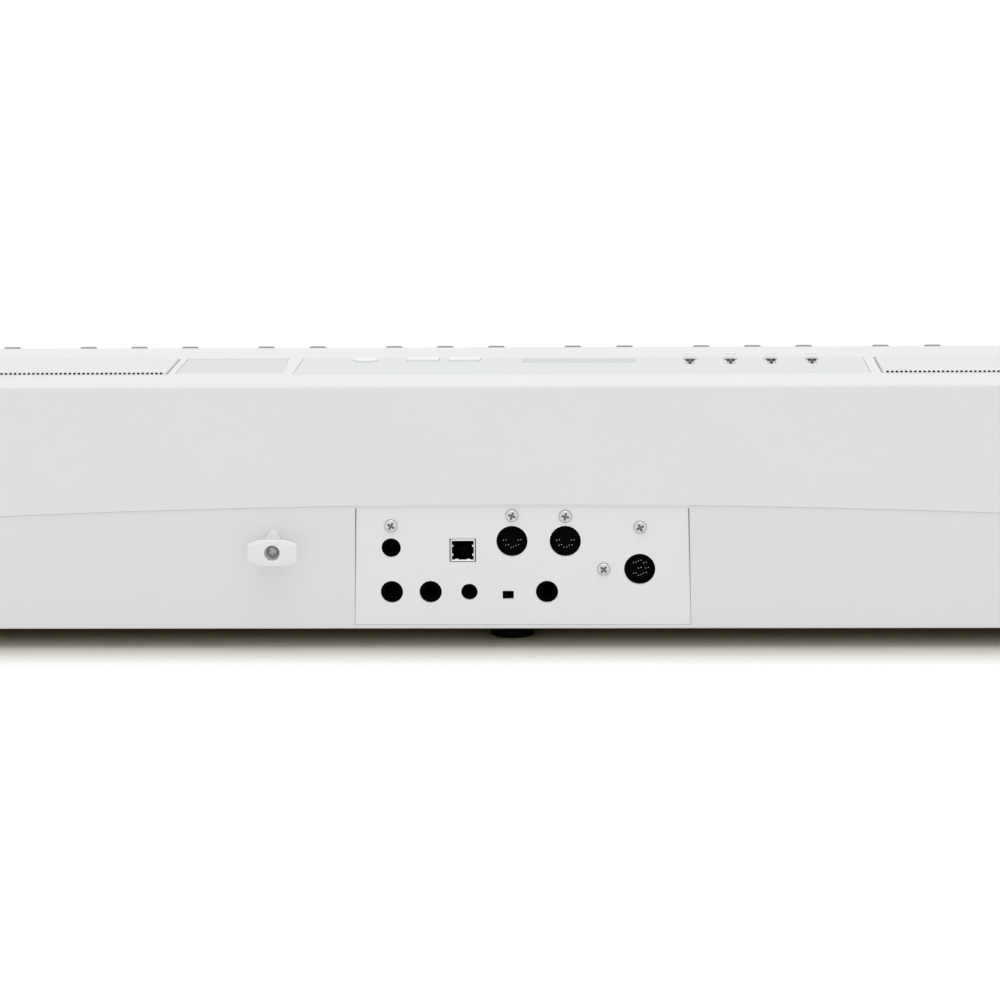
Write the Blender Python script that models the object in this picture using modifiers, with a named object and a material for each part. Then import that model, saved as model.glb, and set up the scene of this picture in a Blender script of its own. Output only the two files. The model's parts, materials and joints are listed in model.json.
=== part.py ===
"""Portable digital piano, modelled from its case down to its keys and boards.

Units are metres and +Z is up. X runs to the player's right, the keys face -Y,
and the sockets are in the rear wall at +Y. The origin is on the floor, under
the middle of the whole instrument. Most places along Y are written as a depth
in from the rear wall, which is how the instrument is measured from behind.
"""

import math

import bmesh
import bpy
from mathutils import Matrix, Vector

# Case
LENGTH = 1.333
DEPTH = 0.295
TOP = 0.131
FLOOR = 0.010
WALL = 0.003
GAP = 0.0003
CLIP_REACH = 0.0095
REAR = (DEPTH + CLIP_REACH) / 2 - CLIP_REACH
HALF_LENGTH = LENGTH / 2
PANEL_DEPTH = 0.133
LIP_BOTTOM = 0.1208
EDGE_RADIUS = 0.001
BOTTOM_RADIUS = 0.001
CORNER_RADIUS = 0.008

# Seam between the two halves of the case, a shallow arch seen from behind
LOWER_SETBACK = 0.0006
SEAM_TOP = 0.072
SEAM_DROP = 0.005
SEAM_DROP_AT = 0.245
SEAM_STEPS = 28
FRONT_SEAM = 0.035

# Zone of the panel and the speakers, as depths from the rear wall
ZONE_REAR = 0.041
ZONE_FRONT = 0.095
END_SLANT = 0.0016
RECESS = 0.0009
PANEL_SHEET = 0.0006
PANEL_LEFT = -0.172
PANEL_RIGHT = 0.1147
TRAY_LEFT = 0.1198
TRAY_RIGHT = 0.174
TRAY_DEPTH = 0.0018
GRILLE_INNER = 0.1783
GRILLE_OUTER = 0.479
GRILLE_RISE = 0.001
GRILLE_LEDGE = 0.003

# Keyboard
WHITE_PITCH = 0.0235
WHITE_COUNT = 52
OCTAVE = 7 * WHITE_PITCH
KEY_COUNT = 88
KEY_GAP = 0.0005
WHITE_TOP = 0.106
KEY_PLATE = 0.009
WHITE_LIP = 0.020
LIP_THICKNESS = 0.003
WHITE_FRONT = 0.283
BLACK_FRONT = 0.228
BLACK_TOP = 0.119
BLACK_BASE_WIDTH = 0.011
BLACK_TOP_WIDTH = 0.0092
BLACK_SLOPE = 0.003
BLACK_CLEARANCE = 0.001
BLACK_BLOCK_REAR = 0.131
TAIL_END = 0.0955
TAIL_HALF = 0.0059
TAIL_PITCH = OCTAVE / 12
TAIL_STEP = 0.134
NOTCH_DEPTH = 0.2295
SHARP_BOTTOM = 0.0985
SHARP_SHOULDER = 0.1075
RAIL_DEPTHS = (0.0955, 0.102)
WHITE_RAIL = (0.0945, 0.0975)
SHARP_RAIL = (0.107, 0.110)
KEY_PIVOT_DEPTH = 0.0987
KEY_PIVOT_Z = 0.096

# Speakers
SPEAKER_X = 0.329
SPEAKER_DEPTH = 0.068

# Panel controls
SLIDER_X = (-0.083, -0.1035, -0.124, -0.1445)
SLIDER_DEPTH = 0.0905
SLOT_WIDTH = 0.0042
SLOT_REAR = 0.0725
SLOT_FRONT = 0.0925
BUTTON_X = (0.0312, 0.0521)
BUTTON_SIZE = (0.0160, 0.0080)
BUTTON_DEPTH = 0.0885
BUTTON_RISE = 0.0011
POWER_X = 0.0811
POWER_DEPTH = 0.0875
POWER_RADIUS = 0.0063
WINDOW_X = (-0.0563, 0.0028)
WINDOW_DEPTHS = (0.077, 0.0925)
CONTROL_FOOT = 0.121
PANEL_BOARD_TOP = 0.1196

# Rear sockets, as (x, z) on the jack plate
PLATE_TOP_HALF = 0.0812
PLATE_BOTTOM_HALF = 0.0826
PLATE_BOTTOM = 0.0122
PLATE_TOP = 0.0714
PLATE_FACE = 0.0012
PLATE_BACK = 0.0032
SOCKET_FRONT = 0.0035
SOCKET_BACK = 0.0177
PHONE_JACKS = ((0.0644, 0.0284), (0.0453, 0.0284), (-0.0120, 0.0284))
DC_INLET = (0.0645, 0.0505)
MINI_JACK = (0.0262, 0.0284)
SWITCH = (0.0071, 0.0269)
USB = (0.0293, 0.0492)
DIN_SOCKETS = ((0.0051, 0.0537), (-0.0211, 0.0537), (-0.0576, 0.0397))
PHONE_RADIUS = 0.00555
PHONE_BORE = 0.0032
DIN_RADIUS = 0.0077
DIN_CAVITY = 0.0067
DC_RADIUS = 0.0048
MINI_RADIUS = 0.0041
SCREW_HOLE = 0.00175

# Cord clip, an eight-sided plate on a post, with a round tab above it
CLIP = (0.1224, 0.0498)
CLIP_BACK = 0.0072
CLIP_HALF = 0.0120
CLIP_TALL = 0.00645
CLIP_SHORT = 0.0045
CLIP_FLAT = 0.0060
CLIP_POST = 0.0047
CLIP_TAB = 0.0041
CLIP_TAB_REACH = 0.0103
CLIP_COUNTERBORE = 0.0038
CLIP_BORE_FLOOR = 0.0040

# Feet, as (name, x, depth)
FEET = (
    ("foot_rear_left", -0.600, 0.036),
    ("foot_rear_middle", 0.006, 0.036),
    ("foot_rear_right", 0.600, 0.036),
    ("foot_front_left", -0.600, 0.259),
    ("foot_front_right", 0.600, 0.259),
)
FOOT_BOTTOM_RADIUS = 0.01075
FOOT_TOP_RADIUS = 0.0125

NOTES = ("c", "c_sharp", "d", "d_sharp", "e", "f", "f_sharp", "g", "g_sharp", "a", "a_sharp", "b")
WHITE_STEPS = {"c": 0, "d": 1, "e": 2, "f": 3, "g": 4, "a": 5, "b": 6}
SHARP_OFFSETS = {
    "c_sharp": (1, -0.0021),
    "d_sharp": (2, 0.0021),
    "f_sharp": (4, -0.0039),
    "g_sharp": (5, 0.0),
    "a_sharp": (6, 0.0039),
}

PLANES = {
    "XY": (Matrix.Identity(3), 2),
    "YZ": (Matrix(((0, 0, 1), (1, 0, 0), (0, 1, 0))), 0),
    "XZ": (Matrix(((1, 0, 0), (0, 0, -1), (0, 1, 0))), 1),
}


def at(depth):
    """Y of a depth in from the rear wall."""
    return REAR - depth


def seam(x):
    """Height of the case's seam at x."""
    return SEAM_TOP - SEAM_DROP * (x / SEAM_DROP_AT) ** 2


def clear_scene():
    for item in list(bpy.data.objects):
        bpy.data.objects.remove(item, do_unlink=True)


def make_collection(name):
    group = bpy.data.collections.new(name)
    bpy.context.scene.collection.children.link(group)
    return group


def make_material(name, colour, roughness, metallic=0.0):
    material = bpy.data.materials.new(name)
    material.use_nodes = True
    shader = material.node_tree.nodes["Principled BSDF"]
    shader.inputs["Base Color"].default_value = (*colour, 1.0)
    shader.inputs["Roughness"].default_value = roughness
    shader.inputs["Metallic"].default_value = metallic
    material.diffuse_color = (*colour, 1.0)
    return material


def add_box(bm, x, y, z):
    """Adds a box between the low and high limits of each axis."""
    spans = [(min(pair), max(pair)) for pair in (x, y, z)]
    middle = [(low + high) / 2 for low, high in spans]
    size = [high - low for low, high in spans]
    matrix = Matrix.Translation(middle) @ Matrix.Diagonal((*size, 1))
    return bmesh.ops.create_cube(bm, size=1, matrix=matrix)["verts"]


def add_rod(bm, start, end, radius, sides=16, end_radius=None):
    """Adds a capped cylinder, or a cone, from start to end."""
    start, end = Vector(start), Vector(end)
    along = end - start
    turn = along.to_track_quat("Z", "Y").to_matrix().to_4x4()
    bmesh.ops.create_cone(
        bm,
        cap_ends=True,
        segments=sides,
        radius1=radius,
        radius2=radius if end_radius is None else end_radius,
        depth=along.length,
        matrix=Matrix.Translation((start + end) / 2) @ turn,
    )


def add_outline(bm, points, plane, low, high):
    """Adds a flat outline, extruded from low to high along the plane's normal."""
    curve = bpy.data.curves.new("outline", "CURVE")
    curve.dimensions = "2D"
    curve.fill_mode = "BOTH"
    curve.extrude = abs(high - low) / 2
    spline = curve.splines.new("POLY")
    spline.points.add(len(points) - 1)
    for point, (u, v) in zip(spline.points, points):
        point.co = (u, v, 0, 1)
    spline.use_cyclic_u = True
    guide = bpy.data.objects.new("outline", curve)
    bpy.context.scene.collection.objects.link(guide)
    evaluated = guide.evaluated_get(bpy.context.evaluated_depsgraph_get())
    mesh = bpy.data.meshes.new_from_object(evaluated)
    turn, axis = PLANES[plane]
    shift = Vector((0, 0, 0))
    shift[axis] = (low + high) / 2
    mesh.transform(Matrix.Translation(shift) @ turn.to_4x4())
    piece = bmesh.new()
    piece.from_mesh(mesh)
    bmesh.ops.remove_doubles(piece, verts=piece.verts, dist=1e-6)
    bmesh.ops.recalc_face_normals(piece, faces=piece.faces)
    piece.to_mesh(mesh)
    piece.free()
    bm.from_mesh(mesh)
    bpy.data.meshes.remove(mesh)
    bpy.data.objects.remove(guide)
    bpy.data.curves.remove(curve)


def add_copy(bm, source, offset):
    """Adds a copy of the source mesh, moved along X."""
    mesh = bpy.data.meshes.new("copy")
    source.to_mesh(mesh)
    mesh.transform(Matrix.Translation((offset, 0, 0)))
    bm.from_mesh(mesh)
    bpy.data.meshes.remove(mesh)


def round_edges(bm, chosen, radius, segments):
    """Rounds the edges for which chosen(middle, direction) is true."""
    edges = []
    for edge in bm.edges:
        first, second = (vert.co for vert in edge.verts)
        if chosen((first + second) / 2, (second - first).normalized()):
            edges.append(edge)
    bmesh.ops.bevel(
        bm, geom=edges, offset=radius, segments=segments, profile=0.5, affect="EDGES"
    )


def make_piece(name, bm, material, origin=(0, 0, 0), smooth_angle=None):
    """Turns a mesh in world coordinates into a named part with its own origin."""
    origin = Vector(origin)
    mesh = bpy.data.meshes.new(name)
    bmesh.ops.translate(bm, verts=bm.verts, vec=-origin)
    bm.to_mesh(mesh)
    bm.free()
    if smooth_angle is not None:
        mesh.shade_smooth()
        mesh.set_sharp_from_angle(angle=math.radians(smooth_angle))
    mesh.materials.append(material)
    piece = bpy.data.objects.new(name, mesh)
    piece.location = origin
    parts.objects.link(piece)
    return piece


def shape(piece, operation, name, build):
    """Cuts, or joins, a piece with the tool that build(bm) makes."""
    bm = bmesh.new()
    build(bm)
    mesh = bpy.data.meshes.new(name)
    bm.to_mesh(mesh)
    bm.free()
    tool = bpy.data.objects.new(name, mesh)
    tool.hide_render = True
    tool.display_type = "WIRE"
    cutters.objects.link(tool)
    modifier = piece.modifiers.new(name, "BOOLEAN")
    modifier.operation = operation
    modifier.object = tool
    modifier.solver = "EXACT"


def cut(piece, name, build):
    shape(piece, "DIFFERENCE", f"cut_{name}", build)


def join(piece, name, build):
    shape(piece, "UNION", f"join_{name}", build)


def arc(centre, radius, start, end, steps):
    """Points on an arc, from one angle to another in degrees."""
    points = []
    for step in range(steps + 1):
        angle = math.radians(start + (end - start) * step / steps)
        points.append((centre[0] + radius * math.cos(angle), centre[1] + radius * math.sin(angle)))
    return points


def seam_outline(offset, edge_z):
    """Outline in XZ between the seam, raised by offset, and a level edge."""
    reach = HALF_LENGTH + 0.01
    points = []
    for step in range(SEAM_STEPS + 1):
        x = -reach + 2 * reach * step / SEAM_STEPS
        points.append((x, seam(x) + offset))
    return points + [(reach, edge_z), (-reach, edge_z)]


def zone_outline(left, right, rear, front, left_slant=0.0, right_slant=0.0):
    """Four-cornered outline in XY, whose ends lean by a slant at the front."""
    return [
        (left, at(rear)),
        (right, at(rear)),
        (right + right_slant, at(front)),
        (left + left_slant, at(front)),
    ]


def along_x(x, depth_a, depth_b, z_a, z_b):
    """Limits of a box from two depths and two heights."""
    return x, (at(depth_a), at(depth_b)), (z_a, z_b)


def make_lower_case(material):
    """Tray with a rear wall that rises to the arched seam."""
    bm = bmesh.new()
    add_box(bm, *along_x((-HALF_LENGTH, HALF_LENGTH), LOWER_SETBACK, DEPTH, FLOOR, SEAM_TOP + 0.01))
    round_edges(bm, lambda mid, way: abs(way.z) > 0.9, CORNER_RADIUS, 3)
    round_edges(
        bm,
        lambda mid, way: mid.z < FLOOR + 0.0001 and abs(way.z) < 0.1,
        BOTTOM_RADIUS,
        2,
    )
    case = make_piece("lower_case", bm, material, smooth_angle=30)
    inner_x = HALF_LENGTH - WALL
    inner = along_x(
        (-inner_x, inner_x), LOWER_SETBACK + WALL, DEPTH - WALL, FLOOR + WALL, TOP
    )
    cut(case, "tray", lambda tool: add_box(tool, *inner))
    cut(case, "over_seam", lambda tool: add_outline(
        tool, seam_outline(0, SEAM_TOP + 0.03), "XZ", at(DEPTH + 0.01), at(-0.01)))
    front = along_x((-1, 1), LOWER_SETBACK + 0.0045, DEPTH + 0.01, FRONT_SEAM, TOP)
    cut(case, "front_walls", lambda tool: add_box(tool, *front))
    notch = [
        (-PLATE_BOTTOM_HALF - GAP, PLATE_BOTTOM - GAP),
        (PLATE_BOTTOM_HALF + GAP, PLATE_BOTTOM - GAP),
        (PLATE_TOP_HALF + GAP, SEAM_TOP + 0.02),
        (-PLATE_TOP_HALF - GAP, SEAM_TOP + 0.02),
    ]
    cut(case, "plate_notch", lambda tool: add_outline(
        tool, notch, "XZ", at(LOWER_SETBACK + WALL + 0.001), at(0)))

    def posts(tool):
        for x in (-0.070, 0.070):
            for depth in (0.030, 0.080):
                add_rod(tool, (x, at(depth), FLOOR + 0.001), (x, at(depth), 0.0217), 0.003, 8)
    join(case, "board_posts", posts)

    x, z = CLIP
    cut(case, "clip_screw_hole", lambda tool: add_rod(
        tool, (x, at(-0.01), z), (x, at(0.02), z), SCREW_HOLE, 10))


def make_upper_case(material):
    """Top cover with its rear and end walls, board hangers and panel openings."""
    bm = bmesh.new()
    add_box(bm, *along_x((-HALF_LENGTH, HALF_LENGTH), 0, PANEL_DEPTH, FRONT_SEAM + GAP, TOP))
    round_edges(
        bm,
        lambda mid, way: abs(way.z) > 0.9 and mid.y > 0.1,
        CORNER_RADIUS,
        3,
    )
    round_edges(
        bm,
        lambda mid, way: mid.z > TOP - 0.0001 and mid.y > at(PANEL_DEPTH) + 0.001,
        EDGE_RADIUS,
        2,
    )
    case = make_piece("upper_case", bm, material, smooth_angle=30)
    inner_x = HALF_LENGTH - WALL
    inner = along_x((-inner_x, inner_x), WALL, PANEL_DEPTH - WALL, 0, TOP - WALL)
    cut(case, "cover", lambda tool: add_box(tool, *inner))
    cut(case, "under_seam", lambda tool: add_outline(
        tool, seam_outline(GAP, -0.02), "XZ", at(WALL + 0.001), at(-0.01)))
    mouth_x = WHITE_COUNT * WHITE_PITCH / 2 + 0.0009
    mouth = along_x((-mouth_x, mouth_x), PANEL_DEPTH - WALL - 0.001, PANEL_DEPTH + 0.01, 0, LIP_BOTTOM)
    cut(case, "key_mouth", lambda tool: add_box(tool, *mouth))

    def recesses(tool):
        add_outline(tool, zone_outline(
            PANEL_LEFT - GAP, PANEL_RIGHT + GAP, ZONE_REAR, ZONE_FRONT,
            END_SLANT, -END_SLANT), "XY", TOP - RECESS, TOP + 0.01)
        add_outline(tool, zone_outline(
            TRAY_LEFT, TRAY_RIGHT, ZONE_REAR + 0.004, ZONE_FRONT, 0.001, -END_SLANT),
            "XY", TOP - TRAY_DEPTH, TOP + 0.01)
        for side in (-1, 1):
            ends = sorted((side * (GRILLE_INNER - 0.001), side * (GRILLE_OUTER + GAP)))
            slants = (0, END_SLANT) if side < 0 else (-END_SLANT, 0)
            add_outline(tool, zone_outline(*ends, ZONE_REAR, ZONE_FRONT, *slants),
                        "XY", TOP - 0.002, TOP + 0.01)
    cut(case, "recesses", recesses)

    def openings(tool):
        for side in (-1, 1):
            ends = (side * (GRILLE_INNER + GRILLE_LEDGE), side * (GRILLE_OUTER - GRILLE_LEDGE))
            add_box(tool, *along_x(
                ends, ZONE_REAR + GRILLE_LEDGE, ZONE_FRONT - GRILLE_LEDGE, 0.12, TOP + 0.01))
        for x in SLIDER_X:
            half = SLOT_WIDTH / 2 + 0.0004
            add_box(tool, *along_x((x - half, x + half), SLOT_REAR, SLOT_FRONT, 0.12, TOP + 0.01))
        for x in BUTTON_X:
            half_x, half_y = (size / 2 + 0.0006 for size in BUTTON_SIZE)
            add_box(tool, *along_x((x - half_x, x + half_x), BUTTON_DEPTH - half_y,
                                   BUTTON_DEPTH + half_y, 0.12, TOP + 0.01))
        add_rod(tool, (POWER_X, at(POWER_DEPTH), 0.12), (POWER_X, at(POWER_DEPTH), TOP + 0.01),
                POWER_RADIUS + 0.0006, 20)
        add_box(tool, *along_x(
            [WINDOW_X[0] + 0.0015, WINDOW_X[1] - 0.0015],
            WINDOW_DEPTHS[0] + 0.0015, WINDOW_DEPTHS[1] - 0.0015, 0.12, TOP + 0.01))
    cut(case, "openings", openings)
    glass = along_x(
        (WINDOW_X[0] - GAP, WINDOW_X[1] + GAP),
        WINDOW_DEPTHS[0] - GAP, WINDOW_DEPTHS[1] + GAP, 0.1287, TOP + 0.01)
    cut(case, "window_seat", lambda tool: add_box(tool, *glass))

    def posts(tool):
        for x in (-0.160, -0.070, 0.020, 0.100):
            add_rod(tool, (x, at(0.050), PANEL_BOARD_TOP + GAP), (x, at(0.050), TOP - 0.0015), 0.002, 8)
    join(case, "board_hangers", posts)


def end_block_outline(inset):
    """Side view of an end block: level at the rear, falling and rounded in front."""
    rear = PANEL_DEPTH + GAP + inset
    front = DEPTH - inset
    top = TOP - inset
    nose = 0.018 - inset
    nose_z = 0.124 - inset - nose
    curve = arc((front - nose, nose_z), nose, 0, 80, 4)
    return [
        (at(rear), top),
        *[(at(depth), z) for depth, z in reversed(curve)],
        (at(front), FRONT_SEAM + GAP - 4 * inset),
        (at(rear), FRONT_SEAM + GAP - 4 * inset),
    ]


def make_end_blocks(material):
    """Hollow covers beside the keys, one at each end."""
    inner_x = WHITE_COUNT * WHITE_PITCH / 2 + 0.0012
    for name, side in (("end_block_left", -1), ("end_block_right", 1)):
        low, high = sorted((side * inner_x, side * HALF_LENGTH))
        bm = bmesh.new()
        add_outline(bm, end_block_outline(0), "YZ", low, high)
        block = make_piece(name, bm, material, smooth_angle=30)
        cut(block, f"{name}_hollow", lambda tool: add_outline(
            tool, end_block_outline(WALL), "YZ", low + WALL, high - WALL))


def make_key_slip(material):
    """Rail in front of the white keys, with a rounded top edge."""
    top = 0.093
    radius = 0.003
    half = WHITE_COUNT * WHITE_PITCH / 2 + 0.0009
    corner = arc((DEPTH - radius, top - radius), radius, 0, 90, 3)
    outline = [
        (at(DEPTH), FRONT_SEAM + GAP),
        *[(at(depth), z) for depth, z in corner],
        (at(DEPTH - 0.010), top),
        (at(DEPTH - 0.010), top - 0.0025),
        (at(DEPTH - 0.003), top - 0.0025),
        (at(DEPTH - 0.003), FRONT_SEAM + GAP),
    ]
    bm = bmesh.new()
    add_outline(bm, outline, "YZ", -half, half)
    make_piece("key_slip", bm, material, smooth_angle=30)


def make_control_panel(material):
    """Thin sheet in its recess, with openings for the controls and the display."""
    bm = bmesh.new()
    add_outline(bm, zone_outline(
        PANEL_LEFT, PANEL_RIGHT, ZONE_REAR + GAP, ZONE_FRONT - GAP, END_SLANT, -END_SLANT),
        "XY", TOP - PANEL_SHEET, TOP)
    panel = make_piece("control_panel", bm, material)

    def openings(tool):
        low, high = TOP - 0.002, TOP + 0.002
        for x in SLIDER_X:
            half = SLOT_WIDTH / 2
            add_box(tool, *along_x((x - half, x + half), SLOT_REAR, SLOT_FRONT, low, high))
        for x in BUTTON_X:
            half_x, half_y = (size / 2 + 0.00035 for size in BUTTON_SIZE)
            add_box(tool, *along_x((x - half_x, x + half_x), BUTTON_DEPTH - half_y,
                                   BUTTON_DEPTH + half_y, low, high))
        add_rod(tool, (POWER_X, at(POWER_DEPTH), low), (POWER_X, at(POWER_DEPTH), high),
                POWER_RADIUS + 0.00035, 24)
        add_box(tool, *along_x(
            (WINDOW_X[0] + 0.0008, WINDOW_X[1] - 0.0008),
            WINDOW_DEPTHS[0] + 0.0008, WINDOW_DEPTHS[1] - 0.0008, low, high))
    cut(panel, "panel_openings", openings)


def make_grilles(material):
    """Flat speaker covers that stand a little above the top."""
    for name, side in (("grille_left", -1), ("grille_right", 1)):
        ends = sorted((side * GRILLE_INNER, side * GRILLE_OUTER))
        slants = (0, END_SLANT) if side < 0 else (-END_SLANT, 0)
        bm = bmesh.new()
        add_outline(bm, zone_outline(*ends, ZONE_REAR + GAP, ZONE_FRONT - GAP, *slants),
                    "XY", TOP - 0.002 + GAP, TOP + GRILLE_RISE)
        round_edges(
            bm,
            lambda mid, way: mid.z > TOP + GRILLE_RISE - 0.0001 and abs(way.z) < 0.1 and is_rim(mid),
            0.0011,
            2,
        )
        make_piece(name, bm, material, smooth_angle=30)


def is_rim(mid):
    """True for a point on the outer edge of a speaker cover."""
    at_rear = mid.y > at(ZONE_REAR + 2 * GAP)
    at_front = mid.y < at(ZONE_FRONT - 2 * GAP)
    inner = abs(mid.x) < GRILLE_INNER + 0.0005
    outer = abs(mid.x) > GRILLE_OUTER - 0.0005
    return at_rear or at_front or inner or outer


def make_display(glass):
    """Window of the display, in its seat."""
    bm = bmesh.new()
    add_box(bm, *along_x(WINDOW_X, *WINDOW_DEPTHS, 0.129, 0.1299))
    make_piece("display_window", bm, glass)


def make_boards(board, rubber):
    """Circuit boards: main, jack, panel and key contacts, with the rubber domes."""
    bm = bmesh.new()
    add_box(bm, *along_x((-0.075, 0.075), 0.024, 0.086, 0.022, 0.0236))
    main_board = make_piece("main_board", bm, board)

    def chips(tool):
        for x, depth, half, height in (
            (-0.045, 0.045, 0.011, 0.003),
            (0.010, 0.050, 0.008, 0.0025),
            (0.045, 0.060, 0.006, 0.006),
        ):
            add_box(tool, *along_x((x - half, x + half), depth - half, depth + half,
                                   0.0230, 0.0236 + height))
    join(main_board, "chips", chips)

    bm = bmesh.new()
    add_box(bm, *along_x((-0.080, 0.080), 0.018, 0.0196, FLOOR + WALL + GAP, 0.070))
    make_piece("jack_board", bm, board)

    bm = bmesh.new()
    add_box(bm, *along_x((-0.165, 0.110), 0.045, 0.0945, 0.118, PANEL_BOARD_TOP))
    panel_board = make_piece("panel_board", bm, board)

    def mounted(tool):
        for x in SLIDER_X:
            add_box(tool, *along_x((x - 0.0045, x + 0.0045), 0.0685, 0.0942,
                                   PANEL_BOARD_TOP - 0.0005, PANEL_BOARD_TOP + 0.002))
        add_box(tool, *along_x((-0.058, 0.0045), 0.0755, 0.0940, PANEL_BOARD_TOP - 0.0005, 0.1276))
    join(panel_board, "mounted_parts", mounted)

    half = WHITE_COUNT * WHITE_PITCH / 2 - 0.002
    bm = bmesh.new()
    add_box(bm, *along_x((-half, half), 0.196, 0.2245, 0.0843, 0.0859))
    make_piece("contact_board", bm, board)
    bm = bmesh.new()
    add_box(bm, *along_x((-half, half), 0.204, 0.216, 0.0862, 0.0906))
    round_edges(bm, lambda mid, way: mid.z > 0.0905 and abs(way.x) > 0.9, 0.0015, 1)
    make_piece("contact_rubber", bm, rubber)


def add_turned(bm, profile, steps, centre, flatten):
    """Adds a solid turned about Z and flattened along Y, from radii and heights."""
    mesh = bpy.data.meshes.new("profile")
    points = [(radius, 0, z) for radius, z in profile]
    mesh.from_pydata(points, [(i, i + 1) for i in range(len(points) - 1)], [])
    guide = bpy.data.objects.new("profile", mesh)
    bpy.context.scene.collection.objects.link(guide)
    screw = guide.modifiers.new("turn", "SCREW")
    screw.axis = "Z"
    screw.steps = steps
    screw.render_steps = steps
    screw.use_merge_vertices = True
    screw.merge_threshold = 0.00001
    evaluated = guide.evaluated_get(bpy.context.evaluated_depsgraph_get())
    turned = bpy.data.meshes.new_from_object(evaluated)
    turned.transform(Matrix.Translation(centre) @ Matrix.Diagonal((1, flatten, 1, 1)))
    bm.from_mesh(turned)
    bpy.data.meshes.remove(turned)
    bpy.data.objects.remove(guide)
    bpy.data.meshes.remove(mesh)


def make_speakers(material):
    """Oval speakers under the grilles: magnet, basket and cone."""
    profile = (
        (0, 0.1112), (0.0150, 0.1112), (0.0480, 0.1262), (0.0505, 0.1277), (0.0550, 0.1277),
        (0.0550, 0.1257), (0.0220, 0.1080), (0.0220, 0.0980), (0, 0.0980),
    )
    for name, x in (("speaker_left", -SPEAKER_X), ("speaker_right", SPEAKER_X)):
        bm = bmesh.new()
        add_turned(bm, profile, 20, (x, at(SPEAKER_DEPTH), 0), 0.5)
        make_piece(name, bm, material, smooth_angle=40)


def white_outline(left, right, notch_left, notch_right, tail):
    """Plan of a white key from its front edge back to its tail."""
    front, notch, step, end = (at(d) for d in (WHITE_FRONT, NOTCH_DEPTH, TAIL_STEP, TAIL_END))
    points = [(left, front), (right, front)]
    if notch_right < right:
        points += [(right, notch), (notch_right, notch)]
    points += [(notch_right, step), (tail[1], step)] if tail[1] < notch_right - 1e-6 else []
    points += [(tail[1], end), (tail[0], end)]
    points += [(tail[0], step), (notch_left, step)] if tail[0] > notch_left + 1e-6 else []
    if notch_left > left:
        points += [(notch_left, notch), (left, notch)]
    return points


def white_key(note, has_left_sharp, has_right_sharp):
    """One white key of the octave that starts at X = 0."""
    step = WHITE_STEPS[note]
    left = step * WHITE_PITCH + KEY_GAP
    right = (step + 1) * WHITE_PITCH - KEY_GAP
    reach = BLACK_BASE_WIDTH / 2 + BLACK_CLEARANCE
    notch_left, notch_right = left, right
    if has_left_sharp:
        notch_left = sharp_centre(NOTES[NOTES.index(note) - 1]) + reach
    if has_right_sharp:
        notch_right = sharp_centre(NOTES[NOTES.index(note) + 1]) - reach
    middle = tail_centre(note)
    tail = (max(middle - TAIL_HALF, notch_left), min(middle + TAIL_HALF, notch_right))
    bm = bmesh.new()
    outline = white_outline(left, right, notch_left, notch_right, tail)
    add_outline(bm, outline, "XY", WHITE_TOP - KEY_PLATE, WHITE_TOP)
    lip_y = at(WHITE_FRONT - LIP_THICKNESS)
    bmesh.ops.bisect_plane(
        bm, geom=bm.verts[:] + bm.edges[:] + bm.faces[:], plane_co=(0, lip_y, 0), plane_no=(0, 1, 0))
    under = [
        face for face in bm.faces
        if face.normal.z < -0.9 and face.calc_center_median().y < lip_y
    ]
    lip = bmesh.ops.extrude_face_region(bm, geom=under)["geom"]
    moved = [item for item in lip if isinstance(item, bmesh.types.BMVert)]
    bmesh.ops.translate(bm, verts=moved, vec=(0, 0, KEY_PLATE - WHITE_LIP))
    bmesh.ops.delete(bm, geom=under, context="FACES_ONLY")
    return bm


def black_key(note):
    """One black key of the octave that starts at X = 0, with a tapered block."""
    middle = sharp_centre(note)
    half = BLACK_BASE_WIDTH / 2
    bm = bmesh.new()
    add_box(bm, *along_x((middle - half, middle + half), BLACK_FRONT, TAIL_END,
                         SHARP_BOTTOM, SHARP_SHOULDER))
    block_rear = at(BLACK_BLOCK_REAR)
    bmesh.ops.bisect_plane(
        bm, geom=bm.verts[:] + bm.edges[:] + bm.faces[:], plane_co=(0, block_rear, 0),
        plane_no=(0, 1, 0))
    above = [
        face for face in bm.faces
        if face.normal.z > 0.9 and face.calc_center_median().y < block_rear
    ]
    block = bmesh.ops.extrude_face_region(bm, geom=above)["geom"]
    moved = [item for item in block if isinstance(item, bmesh.types.BMVert)]
    bmesh.ops.delete(bm, geom=above, context="FACES_ONLY")
    narrow = BLACK_TOP_WIDTH / BLACK_BASE_WIDTH
    for vert in moved:
        vert.co.z = BLACK_TOP
        vert.co.x = middle + (vert.co.x - middle) * narrow
        if vert.co.y < block_rear - 0.01:
            vert.co.y += BLACK_SLOPE
    return bm


def sharp_centre(note):
    """X of a black key's middle in the octave that starts at X = 0."""
    boundary, offset = SHARP_OFFSETS[note]
    return boundary * WHITE_PITCH + offset


def tail_centre(note):
    """X of a key's tail: all twelve tails of an octave stand at one pitch."""
    return (NOTES.index(note) + 0.5) * TAIL_PITCH


def key_sets():
    """Key sets as (name, octave, notes): the bass end, seven octaves and the top C."""
    whites = tuple(WHITE_STEPS)
    sharps = tuple(SHARP_OFFSETS)
    sets = [("low_whites", 0, ("a", "b")), ("low_sharp", 0, ("a_sharp",))]
    for octave in range(1, 8):
        sets.append((f"octave_{octave}_whites", octave, whites))
        sets.append((f"octave_{octave}_sharps", octave, sharps))
    return sets + [("top_c", 8, ("c",))]


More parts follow.
